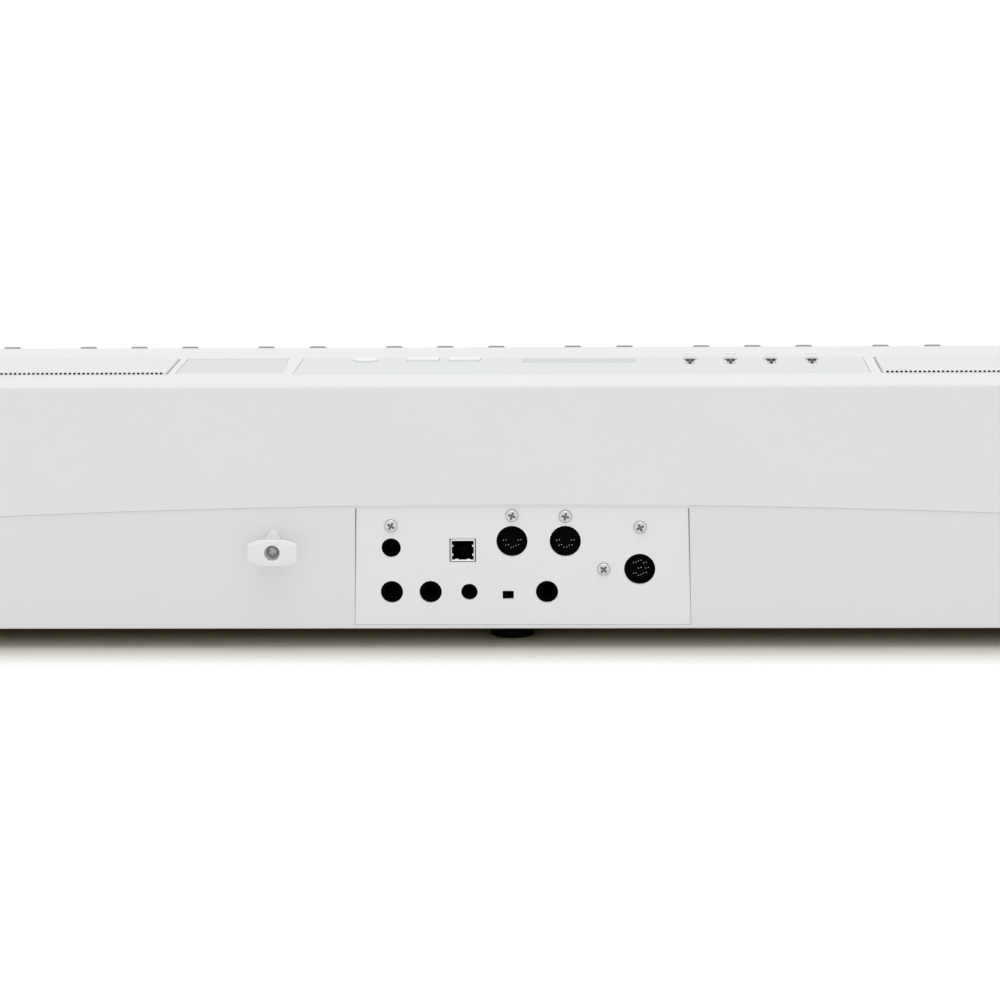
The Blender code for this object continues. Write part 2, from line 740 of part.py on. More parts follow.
def make_keys(white, black):
    """Key sets, each moulded in one with the rail that it turns on."""
    pivot = (0, at(KEY_PIVOT_DEPTH), KEY_PIVOT_Z)
    first_c = -WHITE_COUNT * WHITE_PITCH / 2 + 2 * WHITE_PITCH
    for name, octave, notes in key_sets():
        start = first_c + (octave - 1) * OCTAVE
        group = bmesh.new()
        for note in notes:
            key = 12 * octave + NOTES.index(note) - 9
            if note in SHARP_OFFSETS:
                source = black_key(note)
            else:
                left = note not in ("c", "f") and key > 0
                right = note not in ("e", "b") and key < KEY_COUNT - 1
                source = white_key(note, left, right)
            add_copy(group, source, start)
            source.free()
        sharp = notes[0] in SHARP_OFFSETS
        piece = make_piece(name, group, black if sharp else white, origin=pivot)
        ends = (start + tail_centre(notes[0]) - 0.0052, start + tail_centre(notes[-1]) + 0.0052)
        rail = along_x(ends, *RAIL_DEPTHS, *(SHARP_RAIL if sharp else WHITE_RAIL))
        join(piece, f"{name}_rail", lambda tool: add_box(tool, *rail))


def frame_outline():
    """Side view of the bent key frame, from the front stop back to the key pivots."""
    places = (
        (0.2655, 0.0133), (0.2655, 0.0875), (0.2475, 0.0875), (0.2475, 0.0855),
        (0.2635, 0.0855), (0.2635, 0.0153), (0.2275, 0.0153), (0.2275, 0.0840),
        (0.1935, 0.0840), (0.1935, 0.0820), (0.2255, 0.0820), (0.2255, 0.0153),
        (0.0915, 0.0153), (0.0915, 0.0922), (0.1040, 0.0922), (0.1040, 0.0942),
        (0.0895, 0.0942), (0.0895, 0.0133),
    )
    return [(at(depth), z) for depth, z in places]


def make_key_frame(material):
    """Sheet frame that carries the key sets and the contact board."""
    half = WHITE_COUNT * WHITE_PITCH / 2
    bm = bmesh.new()
    add_outline(bm, frame_outline(), "YZ", -half, half)
    make_piece("key_frame", bm, material)


def make_felt(material):
    """Strip of felt under the panel's front lip, above the keys."""
    half = WHITE_COUNT * WHITE_PITCH / 2
    bm = bmesh.new()
    add_box(bm, *along_x((-half, half), 0.1295, 0.1335, 0.1196, LIP_BOTTOM - GAP))
    make_piece("key_felt", bm, material)


def make_jack_plate(material):
    """Recessed plate that the rear sockets look out of."""
    outline = [
        (-PLATE_BOTTOM_HALF, PLATE_BOTTOM),
        (PLATE_BOTTOM_HALF, PLATE_BOTTOM),
        (PLATE_TOP_HALF, PLATE_TOP),
        (-PLATE_TOP_HALF, PLATE_TOP),
    ]
    bm = bmesh.new()
    add_outline(bm, outline, "XZ", at(PLATE_BACK), at(PLATE_FACE))
    plate = make_piece("jack_plate", bm, material)

    def holes(tool):
        def bore(place, radius, sides=18):
            x, z = place
            add_rod(tool, (x, at(0), z), (x, at(0.01), z), radius, sides)
        for place in PHONE_JACKS:
            bore(place, PHONE_RADIUS)
        for place in DIN_SOCKETS:
            bore(place, DIN_RADIUS, 24)
        bore(DC_INLET, DC_RADIUS)
        bore(MINI_JACK, MINI_RADIUS)
        for (x, z), width, height in ((USB, 0.0130, 0.0116), (SWITCH, 0.0055, 0.0040)):
            add_box(tool, *along_x((x - width / 2, x + width / 2), 0, 0.01,
                                   z - height / 2, z + height / 2))
    cut(plate, "plate_holes", holes)


def make_round_socket(name, place, mouth, bore, material, body, pin=0.0):
    """Round socket: a box behind the plate, with a wide mouth and a bore beyond it."""
    x, z = place
    half_x, low, high = body
    bm = bmesh.new()
    add_box(bm, *along_x((x - half_x, x + half_x), SOCKET_FRONT, SOCKET_BACK, z + low, z + high))
    socket = make_piece(name, bm, material, smooth_angle=30)
    for part, (radius, end) in (("mouth", mouth), ("bore", bore)):
        cut(socket, f"{name}_{part}", lambda tool: add_rod(
            tool, (x, at(-0.01), z), (x, at(end), z), radius, 20))
    if pin:
        join(socket, f"{name}_pin", lambda tool: add_rod(
            tool, (x, at(SOCKET_FRONT + 0.001), z), (x, at(bore[1] + 0.001), z), pin, 8))


def make_sockets(dark, metal):
    """Every socket of the rear wall."""
    for number, place in enumerate(PHONE_JACKS, start=1):
        make_round_socket(f"phone_jack_{number}", place, (PHONE_RADIUS - 0.0004, 0.0055),
                          (PHONE_BORE, 0.0165), dark, (0.0069, -0.0064, 0.0064))
    make_round_socket("dc_inlet", DC_INLET, (DC_RADIUS - 0.0004, 0.0052), (0.0031, 0.013),
                      dark, (0.0057, -0.0060, 0.0056), pin=0.001)
    make_round_socket("mini_jack", MINI_JACK, (MINI_RADIUS - 0.0004, 0.0048), (0.0018, 0.0165),
                      dark, (0.0048, -0.0048, 0.0048))
    for name, place in zip(("midi_socket_right", "midi_socket_left", "pedal_socket"), DIN_SOCKETS):
        make_round_socket(name, place, (DIN_RADIUS - 0.0005, 0.0042), (DIN_CAVITY, 0.0052),
                          dark, (0.0082, -0.0086, 0.0084))

    x, z = USB
    bm = bmesh.new()
    add_box(bm, *along_x((x - 0.00602, x + 0.00602), 0.0010, SOCKET_BACK, z - 0.00543, z + 0.00543))
    port = make_piece("usb_port", bm, metal)
    mouth = [
        (x - 0.0045, z - 0.0045), (x + 0.0045, z - 0.0045), (x + 0.0045, z + 0.0022),
        (x + 0.0024, z + 0.0042), (x - 0.0024, z + 0.0042), (x - 0.0045, z + 0.0022),
    ]
    cut(port, "usb_mouth", lambda tool: add_outline(tool, mouth, "XZ", at(0.0115), at(-0.01)))
    tongue = along_x((x - 0.0028, x + 0.0028), 0.0045, 0.0125, z - 0.0018, z + 0.0014)
    join(port, "usb_tongue", lambda tool: add_box(tool, *tongue))


def make_switch(dark):
    """Slide switch beside the jacks: its body, and the knob in its slot."""
    x, z = SWITCH
    bm = bmesh.new()
    add_box(bm, *along_x((x - 0.0058, x + 0.0058), SOCKET_FRONT, 0.0117, z - 0.0040, z + 0.0040))
    body = make_piece("switch_body", bm, dark)
    slot = along_x((x - 0.00275, x + 0.00275), 0, 0.0077, z - 0.0020, z + 0.0020)
    cut(body, "switch_slot", lambda tool: add_box(tool, *slot))
    bm = bmesh.new()
    add_box(bm, *along_x((x + 0.0001, x + 0.0024), 0.0017, 0.0074, z - 0.0017, z + 0.0017))
    make_piece("switch_knob", bm, dark, origin=(x + 0.00125, at(0.0017), z))


def make_cord_clip(material):
    """Clip that stands off the rear wall, for the adapter's cord to wrap round."""
    x, z = CLIP
    half, tall, short, flat = CLIP_HALF, CLIP_TALL, CLIP_SHORT, CLIP_FLAT
    plate = [
        (x - half, z - short), (x - flat, z - tall), (x + flat, z - tall), (x + half, z - short),
        (x + half, z + short), (x + flat, z + tall), (x - flat, z + tall), (x - half, z + short),
    ]
    bm = bmesh.new()
    add_outline(bm, plate, "XZ", at(-CLIP_BACK), at(-CLIP_REACH))
    clip = make_piece("cord_clip", bm, material, smooth_angle=30)
    foot = LOWER_SETBACK - GAP
    join(clip, "clip_post", lambda tool: add_rod(
        tool, (x, at(-0.0085), z), (x, at(foot), z), CLIP_POST, 16))
    shoulder = z + CLIP_TAB_REACH - CLIP_TAB
    tab = [(x - CLIP_TAB, z), (x + CLIP_TAB, z), *arc((x, shoulder), CLIP_TAB, 0, 180, 6)]
    join(clip, "clip_tab", lambda tool: add_outline(
        tool, tab, "XZ", at(foot), at(foot - 0.0011)))
    cut(clip, "clip_counterbore", lambda tool: add_rod(
        tool, (x, at(-0.0200), z), (x, at(-CLIP_BORE_FLOOR), z), CLIP_COUNTERBORE, 16))
    cut(clip, "clip_hole", lambda tool: add_rod(
        tool, (x, at(-0.0060), z), (x, at(0.0050), z), SCREW_HOLE, 10))


def make_feet(material):
    """Five round rubber feet."""
    for name, x, depth in FEET:
        bm = bmesh.new()
        add_rod(bm, (x, at(depth), 0), (x, at(depth), FLOOR - GAP),
                FOOT_BOTTOM_RADIUS, 16, FOOT_TOP_RADIUS)
        make_piece(name, bm, material, smooth_angle=40)


def make_controls(pale):
    """Slider knobs and buttons of the control panel."""
    for number, x in enumerate(SLIDER_X, start=1):
        bm = bmesh.new()
        add_box(bm, *along_x((x - 0.0033, x + 0.0033), SLIDER_DEPTH - 0.0038,
                             SLIDER_DEPTH + 0.0038, TOP + 0.0004, TOP + 0.0032))
        round_edges(bm, lambda mid, way: mid.z > TOP + 0.0031, 0.0009, 1)
        knob = make_piece(f"slider_knob_{number}", bm, pale, origin=(x, at(SLIDER_DEPTH), TOP))
        stem = along_x((x - 0.0014, x + 0.0014), SLIDER_DEPTH - 0.0015,
                       SLIDER_DEPTH + 0.0015, PANEL_BOARD_TOP + 0.0025, TOP + 0.001)
        join(knob, f"slider_stem_{number}", lambda tool: add_box(tool, *stem))
    half_x, half_y = (size / 2 for size in BUTTON_SIZE)
    top = TOP + BUTTON_RISE
    for side, x in zip(("left", "right"), BUTTON_X):
        bm = bmesh.new()
        add_box(bm, *along_x((x - half_x, x + half_x), BUTTON_DEPTH - half_y,
                             BUTTON_DEPTH + half_y, CONTROL_FOOT, top))
        round_edges(bm, lambda mid, way: mid.z > top - 0.0001, 0.0004, 1)
        make_piece(f"select_button_{side}", bm, pale, origin=(x, at(BUTTON_DEPTH), TOP))
    bm = bmesh.new()
    add_rod(bm, (POWER_X, at(POWER_DEPTH), CONTROL_FOOT), (POWER_X, at(POWER_DEPTH), top),
            POWER_RADIUS, 20)
    make_piece("power_button", bm, pale, origin=(POWER_X, at(POWER_DEPTH), TOP), smooth_angle=30)


def main():
    white = make_material("white_plastic", (0.80, 0.82, 0.81), 0.42)
    key_white = make_material("key_white", (0.87, 0.87, 0.85), 0.25)
    key_black = make_material("key_black", (0.03, 0.03, 0.032), 0.35)
    dark = make_material("black_plastic", (0.02, 0.02, 0.022), 0.45)
    rubber = make_material("rubber", (0.03, 0.03, 0.03), 0.8)
    metal = make_material("bright_metal", (0.75, 0.75, 0.74), 0.3, 1.0)
    steel = make_material("steel_sheet", (0.55, 0.56, 0.57), 0.4, 1.0)
    board = make_material("board_green", (0.05, 0.22, 0.10), 0.5)
    felt = make_material("red_felt", (0.42, 0.03, 0.04), 0.95)
    glass = make_material("display_glass", (0.25, 0.28, 0.30), 0.08)
    panel = make_material("panel_sheet", (0.79, 0.81, 0.83), 0.35)

    make_lower_case(white)
    make_upper_case(white)
    make_end_blocks(white)
    make_key_slip(white)
    make_control_panel(panel)
    make_grilles(white)
    make_display(glass)
    make_boards(board, rubber)
    make_speakers(dark)
    make_key_frame(steel)
    make_felt(felt)
    make_keys(key_white, key_black)
    make_jack_plate(white)
    make_sockets(dark, metal)
    make_switch(dark)
    make_cord_clip(white)
    make_feet(rubber)
    make_controls(white)


clear_scene()
parts = make_collection("digital_piano")
cutters = make_collection("cutters")
main()
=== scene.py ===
"""Looks of a portable digital piano, photographed from behind and a little above.

Every length is in metres. X runs to the player's right, the keys face -Y, the
sockets are in the rear wall at +Y, and +Z is up. Places along Y are written as
depths in from the rear wall.
"""

import json
import logging
import math
from dataclasses import dataclass
from enum import Enum
from typing import Any

import bpy
import numpy as np
from mathutils import Matrix

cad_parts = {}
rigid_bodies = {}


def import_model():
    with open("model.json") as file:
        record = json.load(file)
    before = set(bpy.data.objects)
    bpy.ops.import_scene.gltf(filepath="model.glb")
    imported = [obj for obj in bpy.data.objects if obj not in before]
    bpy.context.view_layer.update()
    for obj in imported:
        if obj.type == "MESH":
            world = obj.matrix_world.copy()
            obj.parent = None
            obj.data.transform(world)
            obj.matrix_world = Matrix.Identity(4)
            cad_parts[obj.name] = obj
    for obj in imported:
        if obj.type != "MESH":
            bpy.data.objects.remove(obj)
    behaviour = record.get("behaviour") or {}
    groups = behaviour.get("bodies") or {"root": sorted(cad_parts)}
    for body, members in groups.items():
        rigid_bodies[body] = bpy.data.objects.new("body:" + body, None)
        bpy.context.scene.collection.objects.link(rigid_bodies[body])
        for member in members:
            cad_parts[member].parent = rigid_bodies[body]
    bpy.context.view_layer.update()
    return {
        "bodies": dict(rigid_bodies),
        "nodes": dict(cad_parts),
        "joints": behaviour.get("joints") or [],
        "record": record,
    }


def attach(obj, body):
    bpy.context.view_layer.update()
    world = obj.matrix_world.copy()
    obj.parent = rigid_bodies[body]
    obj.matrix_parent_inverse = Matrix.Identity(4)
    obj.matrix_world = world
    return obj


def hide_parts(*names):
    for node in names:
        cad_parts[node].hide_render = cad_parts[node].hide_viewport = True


log = logging.getLogger("piano")

REAR = 0.14275
TOP = 0.131
SHARP_FROM = 35.0  # degrees; edges that turn further than this stay sharp

Colour = tuple[float, float, float]


def at(depth: float) -> float:
    """Y of a depth in from the rear wall."""
    return REAR - depth


# Surfaces
class Plane(Enum):
    """Where an outline's first, second and third coordinates go, and whether faces turn over."""

    LEVEL = ((0, 1, 2), False)
    UPRIGHT = ((0, 2, 1), True)
    SIDE = ((1, 2, 0), False)

    @property
    def axes(self) -> tuple[int, int, int]:
        """World axes of the outline's across, along and height."""
        return self.value[0]

    @property
    def turns_over(self) -> bool:
        """True where the mapping mirrors the outline."""
        return self.value[1]


class Ends(Enum):
    """What becomes of a loft's first and last sections."""

    CAPPED = "each closed by a face"
    JOINED = "joined to each other, as on a ring"


@dataclass
class Surface:
    """Points and faces of a mesh under construction."""

    points: np.ndarray
    faces: list[tuple[int, ...]]

    @staticmethod
    def joined(parts: list["Surface"]) -> "Surface":
        """Puts surfaces into one mesh.

        Args:
            parts: the surfaces, each keeping its own points.

        Returns:
            One surface with all the points and faces.
        """
        points, faces, start = [], [], 0
        for part in parts:
            points.append(part.points)
            faces += [tuple(index + start for index in face) for face in part.faces]
            start += len(part.points)
        return Surface(np.concatenate(points), faces)

    def moved(self, x: float) -> "Surface":
        """A copy shifted along X."""
        return Surface(self.points + np.array((x, 0.0, 0.0)), self.faces)

    def piece(self, name: str) -> bpy.types.Object:
        """Makes an object of the surface, at the origin, with its place in its mesh."""
        mesh = bpy.data.meshes.new(name)
        mesh.from_pydata(self.points.tolist(), [], self.faces)
        mesh.update()
        mesh.shade_smooth()
        mesh.set_sharp_from_angle(angle=math.radians(SHARP_FROM))
        made = bpy.data.objects.new(name, mesh)
        bpy.context.scene.collection.objects.link(made)
        return made


def loft(
    sections: np.ndarray, heights: np.ndarray, plane: Plane, ends: Ends = Ends.CAPPED
) -> Surface:
    """Skins a stack of sections.

    Point (i, k) of the grid is corner k of section i, raised to height i. Each
    cell of the grid is a face, with its corners in the order of the outline.

    Args:
        sections: (levels, corners, 2), each section running anticlockwise.
        heights: (levels,), rising up the outside and falling down an inside.
        plane: where the sections lie.
        ends: what becomes of the first and last sections.

    Returns:
        The closed surface.
    """
    levels, corners = sections.shape[:2]
    raised = np.broadcast_to(np.asarray(heights)[:, None, None], (levels, corners, 1))
    local = np.concatenate([sections, raised], axis=2).reshape(-1, 3)
    points = np.empty_like(local)
    points[:, plane.axes] = local
    rows = levels if ends is Ends.JOINED else levels - 1
    level, corner = np.meshgrid(np.arange(rows), np.arange(corners), indexing="ij")
    above, after = (level + 1) % levels, (corner + 1) % corners
    cells = ((level, corner), (level, after), (above, after), (above, corner))
    grid = np.stack([row * corners + column for row, column in cells], axis=-1).reshape(-1, 4)
    faces = [tuple(face) for face in grid.tolist()]
    if ends is Ends.CAPPED:
        last = (levels - 1) * corners
        faces.append(tuple(range(corners - 1, -1, -1)))
        faces.append(tuple(range(last, last + corners)))
    if plane.turns_over:
        faces = [face[::-1] for face in faces]
    return Surface(points, faces)


def hoop(outer: np.ndarray, inner: np.ndarray, low: float, high: float, plane: Plane) -> Surface:
    """Band between two outlines with as many corners.

    The loft goes up the outer wall, over the rim, down the inner wall and back
    under to its start.

    Args:
        outer: outline of the outside, anticlockwise.
        inner: outline of the opening, anticlockwise.
        low: height of the foot.
        high: height of the rim.
        plane: where the outlines lie.

    Returns:
        The ring.
    """
    bevel = min(0.15 * (high - low), 0.0002)
    sections = np.stack(
        [outer * (1 - share) + inner * share for share in (0.0, 0.0, 0.25, 0.75, 1.0, 1.0)]
    )
    heights = np.array([low, high - bevel, high, high, high - bevel, low])
    return loft(sections, heights, plane, Ends.JOINED)


def inset(outline: np.ndarray, distance: float) -> np.ndarray:
    """Moves every edge of an anticlockwise outline inwards.

    Each corner goes along the sum of its two edges' inward normals, divided by
    one plus their product, so both edges move by the same distance.

    Args:
        outline: (corners, 2).
        distance: how far the edges move.

    Returns:
        The smaller outline, with as many corners.
    """
    edges = np.roll(outline, -1, axis=0) - outline
    edges = edges / np.linalg.norm(edges, axis=1, keepdims=True)
    after = np.stack([-edges[:, 1], edges[:, 0]], axis=1)
    before = np.roll(after, 1, axis=0)
    spread = 1 + np.sum(after * before, axis=1, keepdims=True)
    return outline + distance * (after + before) / spread


def slab(outline: np.ndarray, profile: list[tuple[float, float]], plane: Plane) -> Surface:
    """Carries a profile of (inset, height) pairs round an outline.

    Args:
        outline: (corners, 2), anticlockwise.
        profile: how far in the wall stands at each height.
        plane: where the outline lies.

    Returns:
        The closed surface.
    """
    sections = np.stack([inset(outline, distance) for distance, _ in profile])
    return loft(sections, np.array([height for _, height in profile]), plane)


def rounded(low: float, high: float, radius: float, steps: int = 3) -> list[tuple[float, float]]:
    """Profile of a wall from low to high whose upper edge is a quarter circle.

    Args:
        low: height of the wall's foot.
        high: height of the top.
        radius: radius of the rounded edge.
        steps: faces across the round.

    Returns:
        Pairs of inset and height: radius (1 - cos a) in, and radius sin a up.
    """
    turn = np.linspace(0, math.pi / 2, steps + 1)
    ins = radius * (1 - np.cos(turn))
    ups = high - radius + radius * np.sin(turn)
    return [(0.0, low), *zip(ins.tolist(), ups.tolist())]


def circle(x: float, y: float, radius: float, steps: int = 32) -> np.ndarray:
    """Anticlockwise corners of a circle."""
    turn = np.arange(steps) * 2 * math.pi / steps
    return np.stack([x + radius * np.cos(turn), y + radius * np.sin(turn)], axis=1)


def rectangle(
    x: tuple[float, float], y: tuple[float, float], radius: float = 0.0, steps: int = 4
) -> np.ndarray:
    """Anticlockwise corners of a rectangle, each rounded by a quarter circle.

    Args:
        x: low and high limits across.
        y: low and high limits along.
        radius: radius of the corners, or 0 for sharp ones.
        steps: faces across each round.

    Returns:
        The outline.
    """
    if radius <= 0:
        return np.array([(x[0], y[0]), (x[1], y[0]), (x[1], y[1]), (x[0], y[1])])
    corners = []
    for number, (u, v) in enumerate(
        (
            (x[1] - radius, y[0] + radius),
            (x[1] - radius, y[1] - radius),
            (x[0] + radius, y[1] - radius),
            (x[0] + radius, y[0] + radius),
        )
    ):
        turn = math.radians(90 * (number - 1)) + np.linspace(0, math.pi / 2, steps + 1)
        corners.append(np.stack([u + radius * np.cos(turn), v + radius * np.sin(turn)], axis=1))
    return np.concatenate(corners)


def box_about(x: float, y: float, half_x: float, half_y: float, radius: float = 0.0) -> np.ndarray:
    """Rectangle about a centre, with few faces across each rounded corner."""
    return rectangle((x - half_x, x + half_x), (y - half_y, y + half_y), radius, 2)


def sampled(outline: np.ndarray, centre: tuple[float, float], steps: int = 64) -> np.ndarray:
    """Corners of a convex outline, taken at even angles about a centre.

    In each direction the edge is met where the smallest of the edges' distances
    along that direction is: an edge's offset from the centre, divided by its
    normal's share of the direction.

    Args:
        outline: (corners, 2), anticlockwise.
        centre: a point inside.
        steps: how many corners.

    Returns:
        The finer outline.
    """
    edges = np.roll(outline, -1, axis=0) - outline
    normals = np.stack([edges[:, 1], -edges[:, 0]], axis=1)
    normals /= np.linalg.norm(normals, axis=1, keepdims=True)
    offsets = np.sum((outline - centre) * normals, axis=1)
    turn = np.arange(steps) * 2 * math.pi / steps
    ways = np.stack([np.cos(turn), np.sin(turn)], axis=1)
    shares = ways @ normals.T
    reach = np.where(shares > 1e-9, offsets / np.maximum(shares, 1e-9), np.inf).min(axis=1)
    return centre + ways * reach[:, None]


# Shader nodes
class Value:
    """A shader socket that takes part in Python arithmetic."""

    def __init__(self, tree: "Tree", socket: bpy.types.NodeSocket) -> None:
        """Keeps the socket and the tree that it is in."""
        self.tree = tree
        self.socket = socket

    def math(self, operation: str, left: Any, right: Any) -> "Value":
        """Adds a Math node for an operation on two values or numbers."""
        node = self.tree.add("ShaderNodeMath", {"operation": operation}, {0: left, 1: right})
        return self.tree.out(node, 0)

    def __add__(self, other: Any) -> "Value":
        """Sum."""
        return self.math("ADD", self, other)

    __radd__ = __add__

    def __sub__(self, other: Any) -> "Value":
        """Difference."""
        return self.math("SUBTRACT", self, other)

    def __rsub__(self, other: Any) -> "Value":
        """Difference, from a number."""
        return self.math("SUBTRACT", other, self)

    def __mul__(self, other: Any) -> "Value":
        """Product."""
        return self.math("MULTIPLY", self, other)

    __rmul__ = __mul__

    def __abs__(self) -> "Value":
        """Size without its sign."""
        return self.math("ABSOLUTE", self, 0.0)

    def smaller(self, other: Any) -> "Value":
        """The lesser of two values."""
        return self.math("MINIMUM", self, other)

    def larger(self, other: Any) -> "Value":
        """The greater of two values."""
        return self.math("MAXIMUM", self, other)

    def under(self, limit: Any) -> "Value":
        """1 where the value is under a limit, and 0 elsewhere."""
        return self.math("LESS_THAN", self, limit)

    def off_centre(self, pitch: float) -> "Value":
        """Distance from the middle of the nearest of even steps."""
        return self.math("PINGPONG", self, pitch / 2)

    def eased(self, low: float, high: float) -> "Value":
        """0 below low, 1 above high, and a smooth step between them."""
        node = self.tree.add(
            "ShaderNodeMapRange",
            {"interpolation_type": "SMOOTHSTEP"},
            {"Value": self, "From Min": low, "From Max": high},
        )
        return self.tree.out(node, 0)


class Tree:
    """A material's nodes, under one Principled shader."""

    def __init__(self, name: str) -> None:
        """Makes the material and finds its shader."""
        self.material = bpy.data.materials.new(name)
        self.material.use_nodes = True
        self.nodes = self.material.node_tree.nodes
        self.links = self.material.node_tree.links
        self.shader = self.nodes["Principled BSDF"]

    def put(self, node: bpy.types.Node, socket: str | int, value: Any) -> None:
        """Links a Value to an input, or sets a constant on it."""
        if isinstance(value, Value):
            self.links.new(value.socket, node.inputs[socket])
        else:
            node.inputs[socket].default_value = value

    def add(self, kind: str, settings: dict[str, Any], inputs: dict[Any, Any]) -> bpy.types.Node:
        """Adds a node.

        Args:
            kind: the node's type.
            settings: its own settings, which are set first.
            inputs: a Value or a constant for each named or numbered input.

        Returns:
            The node.
        """
        node = self.nodes.new(kind)
        for name, value in settings.items():
            setattr(node, name, value)
        for socket, value in inputs.items():
            self.put(node, socket, value)
        return node

    def out(self, node: bpy.types.Node, socket: str | int) -> Value:
        """Wraps one of a node's outputs."""
        return Value(self, node.outputs[socket])

    def place(self, stretch: Colour = (1.0, 1.0, 1.0)) -> Value:
        """Object coordinates, stretched along the axes."""
        source = self.out(self.add("ShaderNodeTexCoord", {}, {}), "Object")
        mapped = self.add("ShaderNodeMapping", {}, {"Vector": source, "Scale": stretch})
        return self.out(mapped, 0)

    def noise(self, place: Value, scale: float, detail: float = 2.0, rough: float = 0.5) -> Value:
        """Soft noise between 0 and 1."""
        inputs = {"Vector": place, "Scale": scale, "Detail": detail, "Roughness": rough}
        return self.out(self.add("ShaderNodeTexNoise", {}, inputs), 0)

    def mix(self, factor: Value, first: Colour, second: Colour) -> Value:
        """Blends two colours."""
        node = self.add("ShaderNodeMix", {"data_type": "RGBA"}, {0: factor})
        node.inputs[6].default_value = (*first, 1)
        node.inputs[7].default_value = (*second, 1)
        return self.out(node, 2)

    def bump(self, height: Value, strength: float, distance: float) -> None:
        """Feeds a height to the shader's normal."""
        inputs = {"Height": height, "Strength": strength, "Distance": distance}
        self.put(self.shader, "Normal", self.out(self.add("ShaderNodeBump", {}, inputs), 0))


def shade(colour: Colour, share: float) -> Colour:
    """A colour times a number."""
    return tuple(min(1.0, part * share) for part in colour)


# Finishes
@dataclass(frozen=True)
class MouldedPlastic:
    """Plastic from a finely eroded mould.

    The colour drifts a little over a hand's breadth, the gloss is broken up by
    handling, and the surface has grains about half a millimetre across.
    """

    name: str
    colour: Colour
    roughness: float
    grain: float = 0.12
    drift: float = 0.02
    specular: float = 0.5

    def build(self) -> bpy.types.Material:
        """Makes the material."""
        tree = Tree(self.name)
        place = tree.place()
        broad = tree.noise(place, 14, 3)
        patchy = tree.noise(place, 90, 4)
        grains = tree.noise(place, 1900, 1)
        darkest, palest = (shade(self.colour, 1 + part * self.drift) for part in (-1, 0.5))
        tree.put(tree.shader, "Base Color", tree.mix(broad, darkest, palest))
        tree.put(tree.shader, "Roughness", patchy * 0.08 + (self.roughness - 0.04))
        tree.put(tree.shader, "Specular IOR Level", self.specular)
        tree.bump(grains, self.grain, 0.0001)
        return tree.material


@dataclass(frozen=True)
class PerforatedPlastic:
    """Moulded plastic whose level top is pierced by staggered rows of fine holes.

    A point is in a hole where its distance from the nearest point of either of
    two square lattices, half a step apart, is under the hole's radius. The holes
    are not cut: each is painted darker, as painted shade of its inside, and dented
    by the bump.
    """

    name: str
    colour: Colour
    roughness: float
    pitch: float
    radius: float
    top: float

    def build(self) -> bpy.types.Material:
        """Makes the material."""
        tree = Tree(self.name)
        place = tree.place()
        split = tree.add("ShaderNodeSeparateXYZ", {}, {"Vector": place})
        across, along, up = (tree.out(split, axis) for axis in "XYZ")
        nearest = None
        for shift in (0.0, self.pitch / 2):
            u = (across + shift).off_centre(self.pitch)
            v = (along + shift).off_centre(self.pitch)
            square = u * u + v * v
            nearest = square if nearest is None else nearest.smaller(square)
        hole = nearest.under(self.radius**2) * (1 - up.under(self.top))
        grains = tree.noise(place, 1900, 1)
        broad = tree.noise(place, 14, 3)
        shell = tree.mix(broad, shade(self.colour, 0.985), shade(self.colour, 1.01))
        # painted shade: the holes take a colour 18 % darker, for the shade inside them, as none are
        # cut
        painted_hole_shade_mix = tree.add("ShaderNodeMix", {"data_type": "RGBA"}, {0: hole, 6: shell})
        painted_hole_shade_mix.inputs[7].default_value = (*shade(self.colour, 0.82), 1)
        tree.put(tree.shader, "Base Color", tree.out(painted_hole_shade_mix, 2))
        tree.put(tree.shader, "Roughness", broad * 0.08 + (self.roughness - 0.04))
        tree.bump(grains - hole * 2, 0.12, 0.0001)
        return tree.material


@dataclass(frozen=True)
class PolishedPlastic:
    """Smooth hard plastic with faint rubbing marks along the keys."""

    name: str
    colour: Colour
    roughness: float

    def build(self) -> bpy.types.Material:
        """Makes the material."""
        tree = Tree(self.name)
        rubbed = tree.noise(tree.place((900.0, 30.0, 30.0)), 1.0, 3)
        broad = tree.noise(tree.place(), 25, 2)
        tree.put(tree.shader, "Base Color", tree.mix(broad, shade(self.colour, 0.975), self.colour))
        tree.put(tree.shader, "Roughness", rubbed * 0.07 + (self.roughness - 0.03))
        tree.bump(broad, 0.03, 0.0005)
        return tree.material


@dataclass(frozen=True)
class PlatedMetal:
    """Plated or brushed sheet metal with fine drawn lines."""

    name: str
    colour: Colour
    roughness: float

    def build(self) -> bpy.types.Material:
        """Makes the material."""
        tree = Tree(self.name)
        lines = tree.noise(tree.place((40.0, 2600.0, 2600.0)), 1.0, 2)
        broad = tree.noise(tree.place(), 60, 3)
        tree.put(tree.shader, "Base Color", tree.mix(broad, shade(self.colour, 0.86), self.colour))
        tree.put(tree.shader, "Metallic", 1.0)
        tree.put(tree.shader, "Roughness", lines * 0.12 + (self.roughness - 0.06))
        tree.bump(lines, 0.06, 0.00005)
        return tree.material


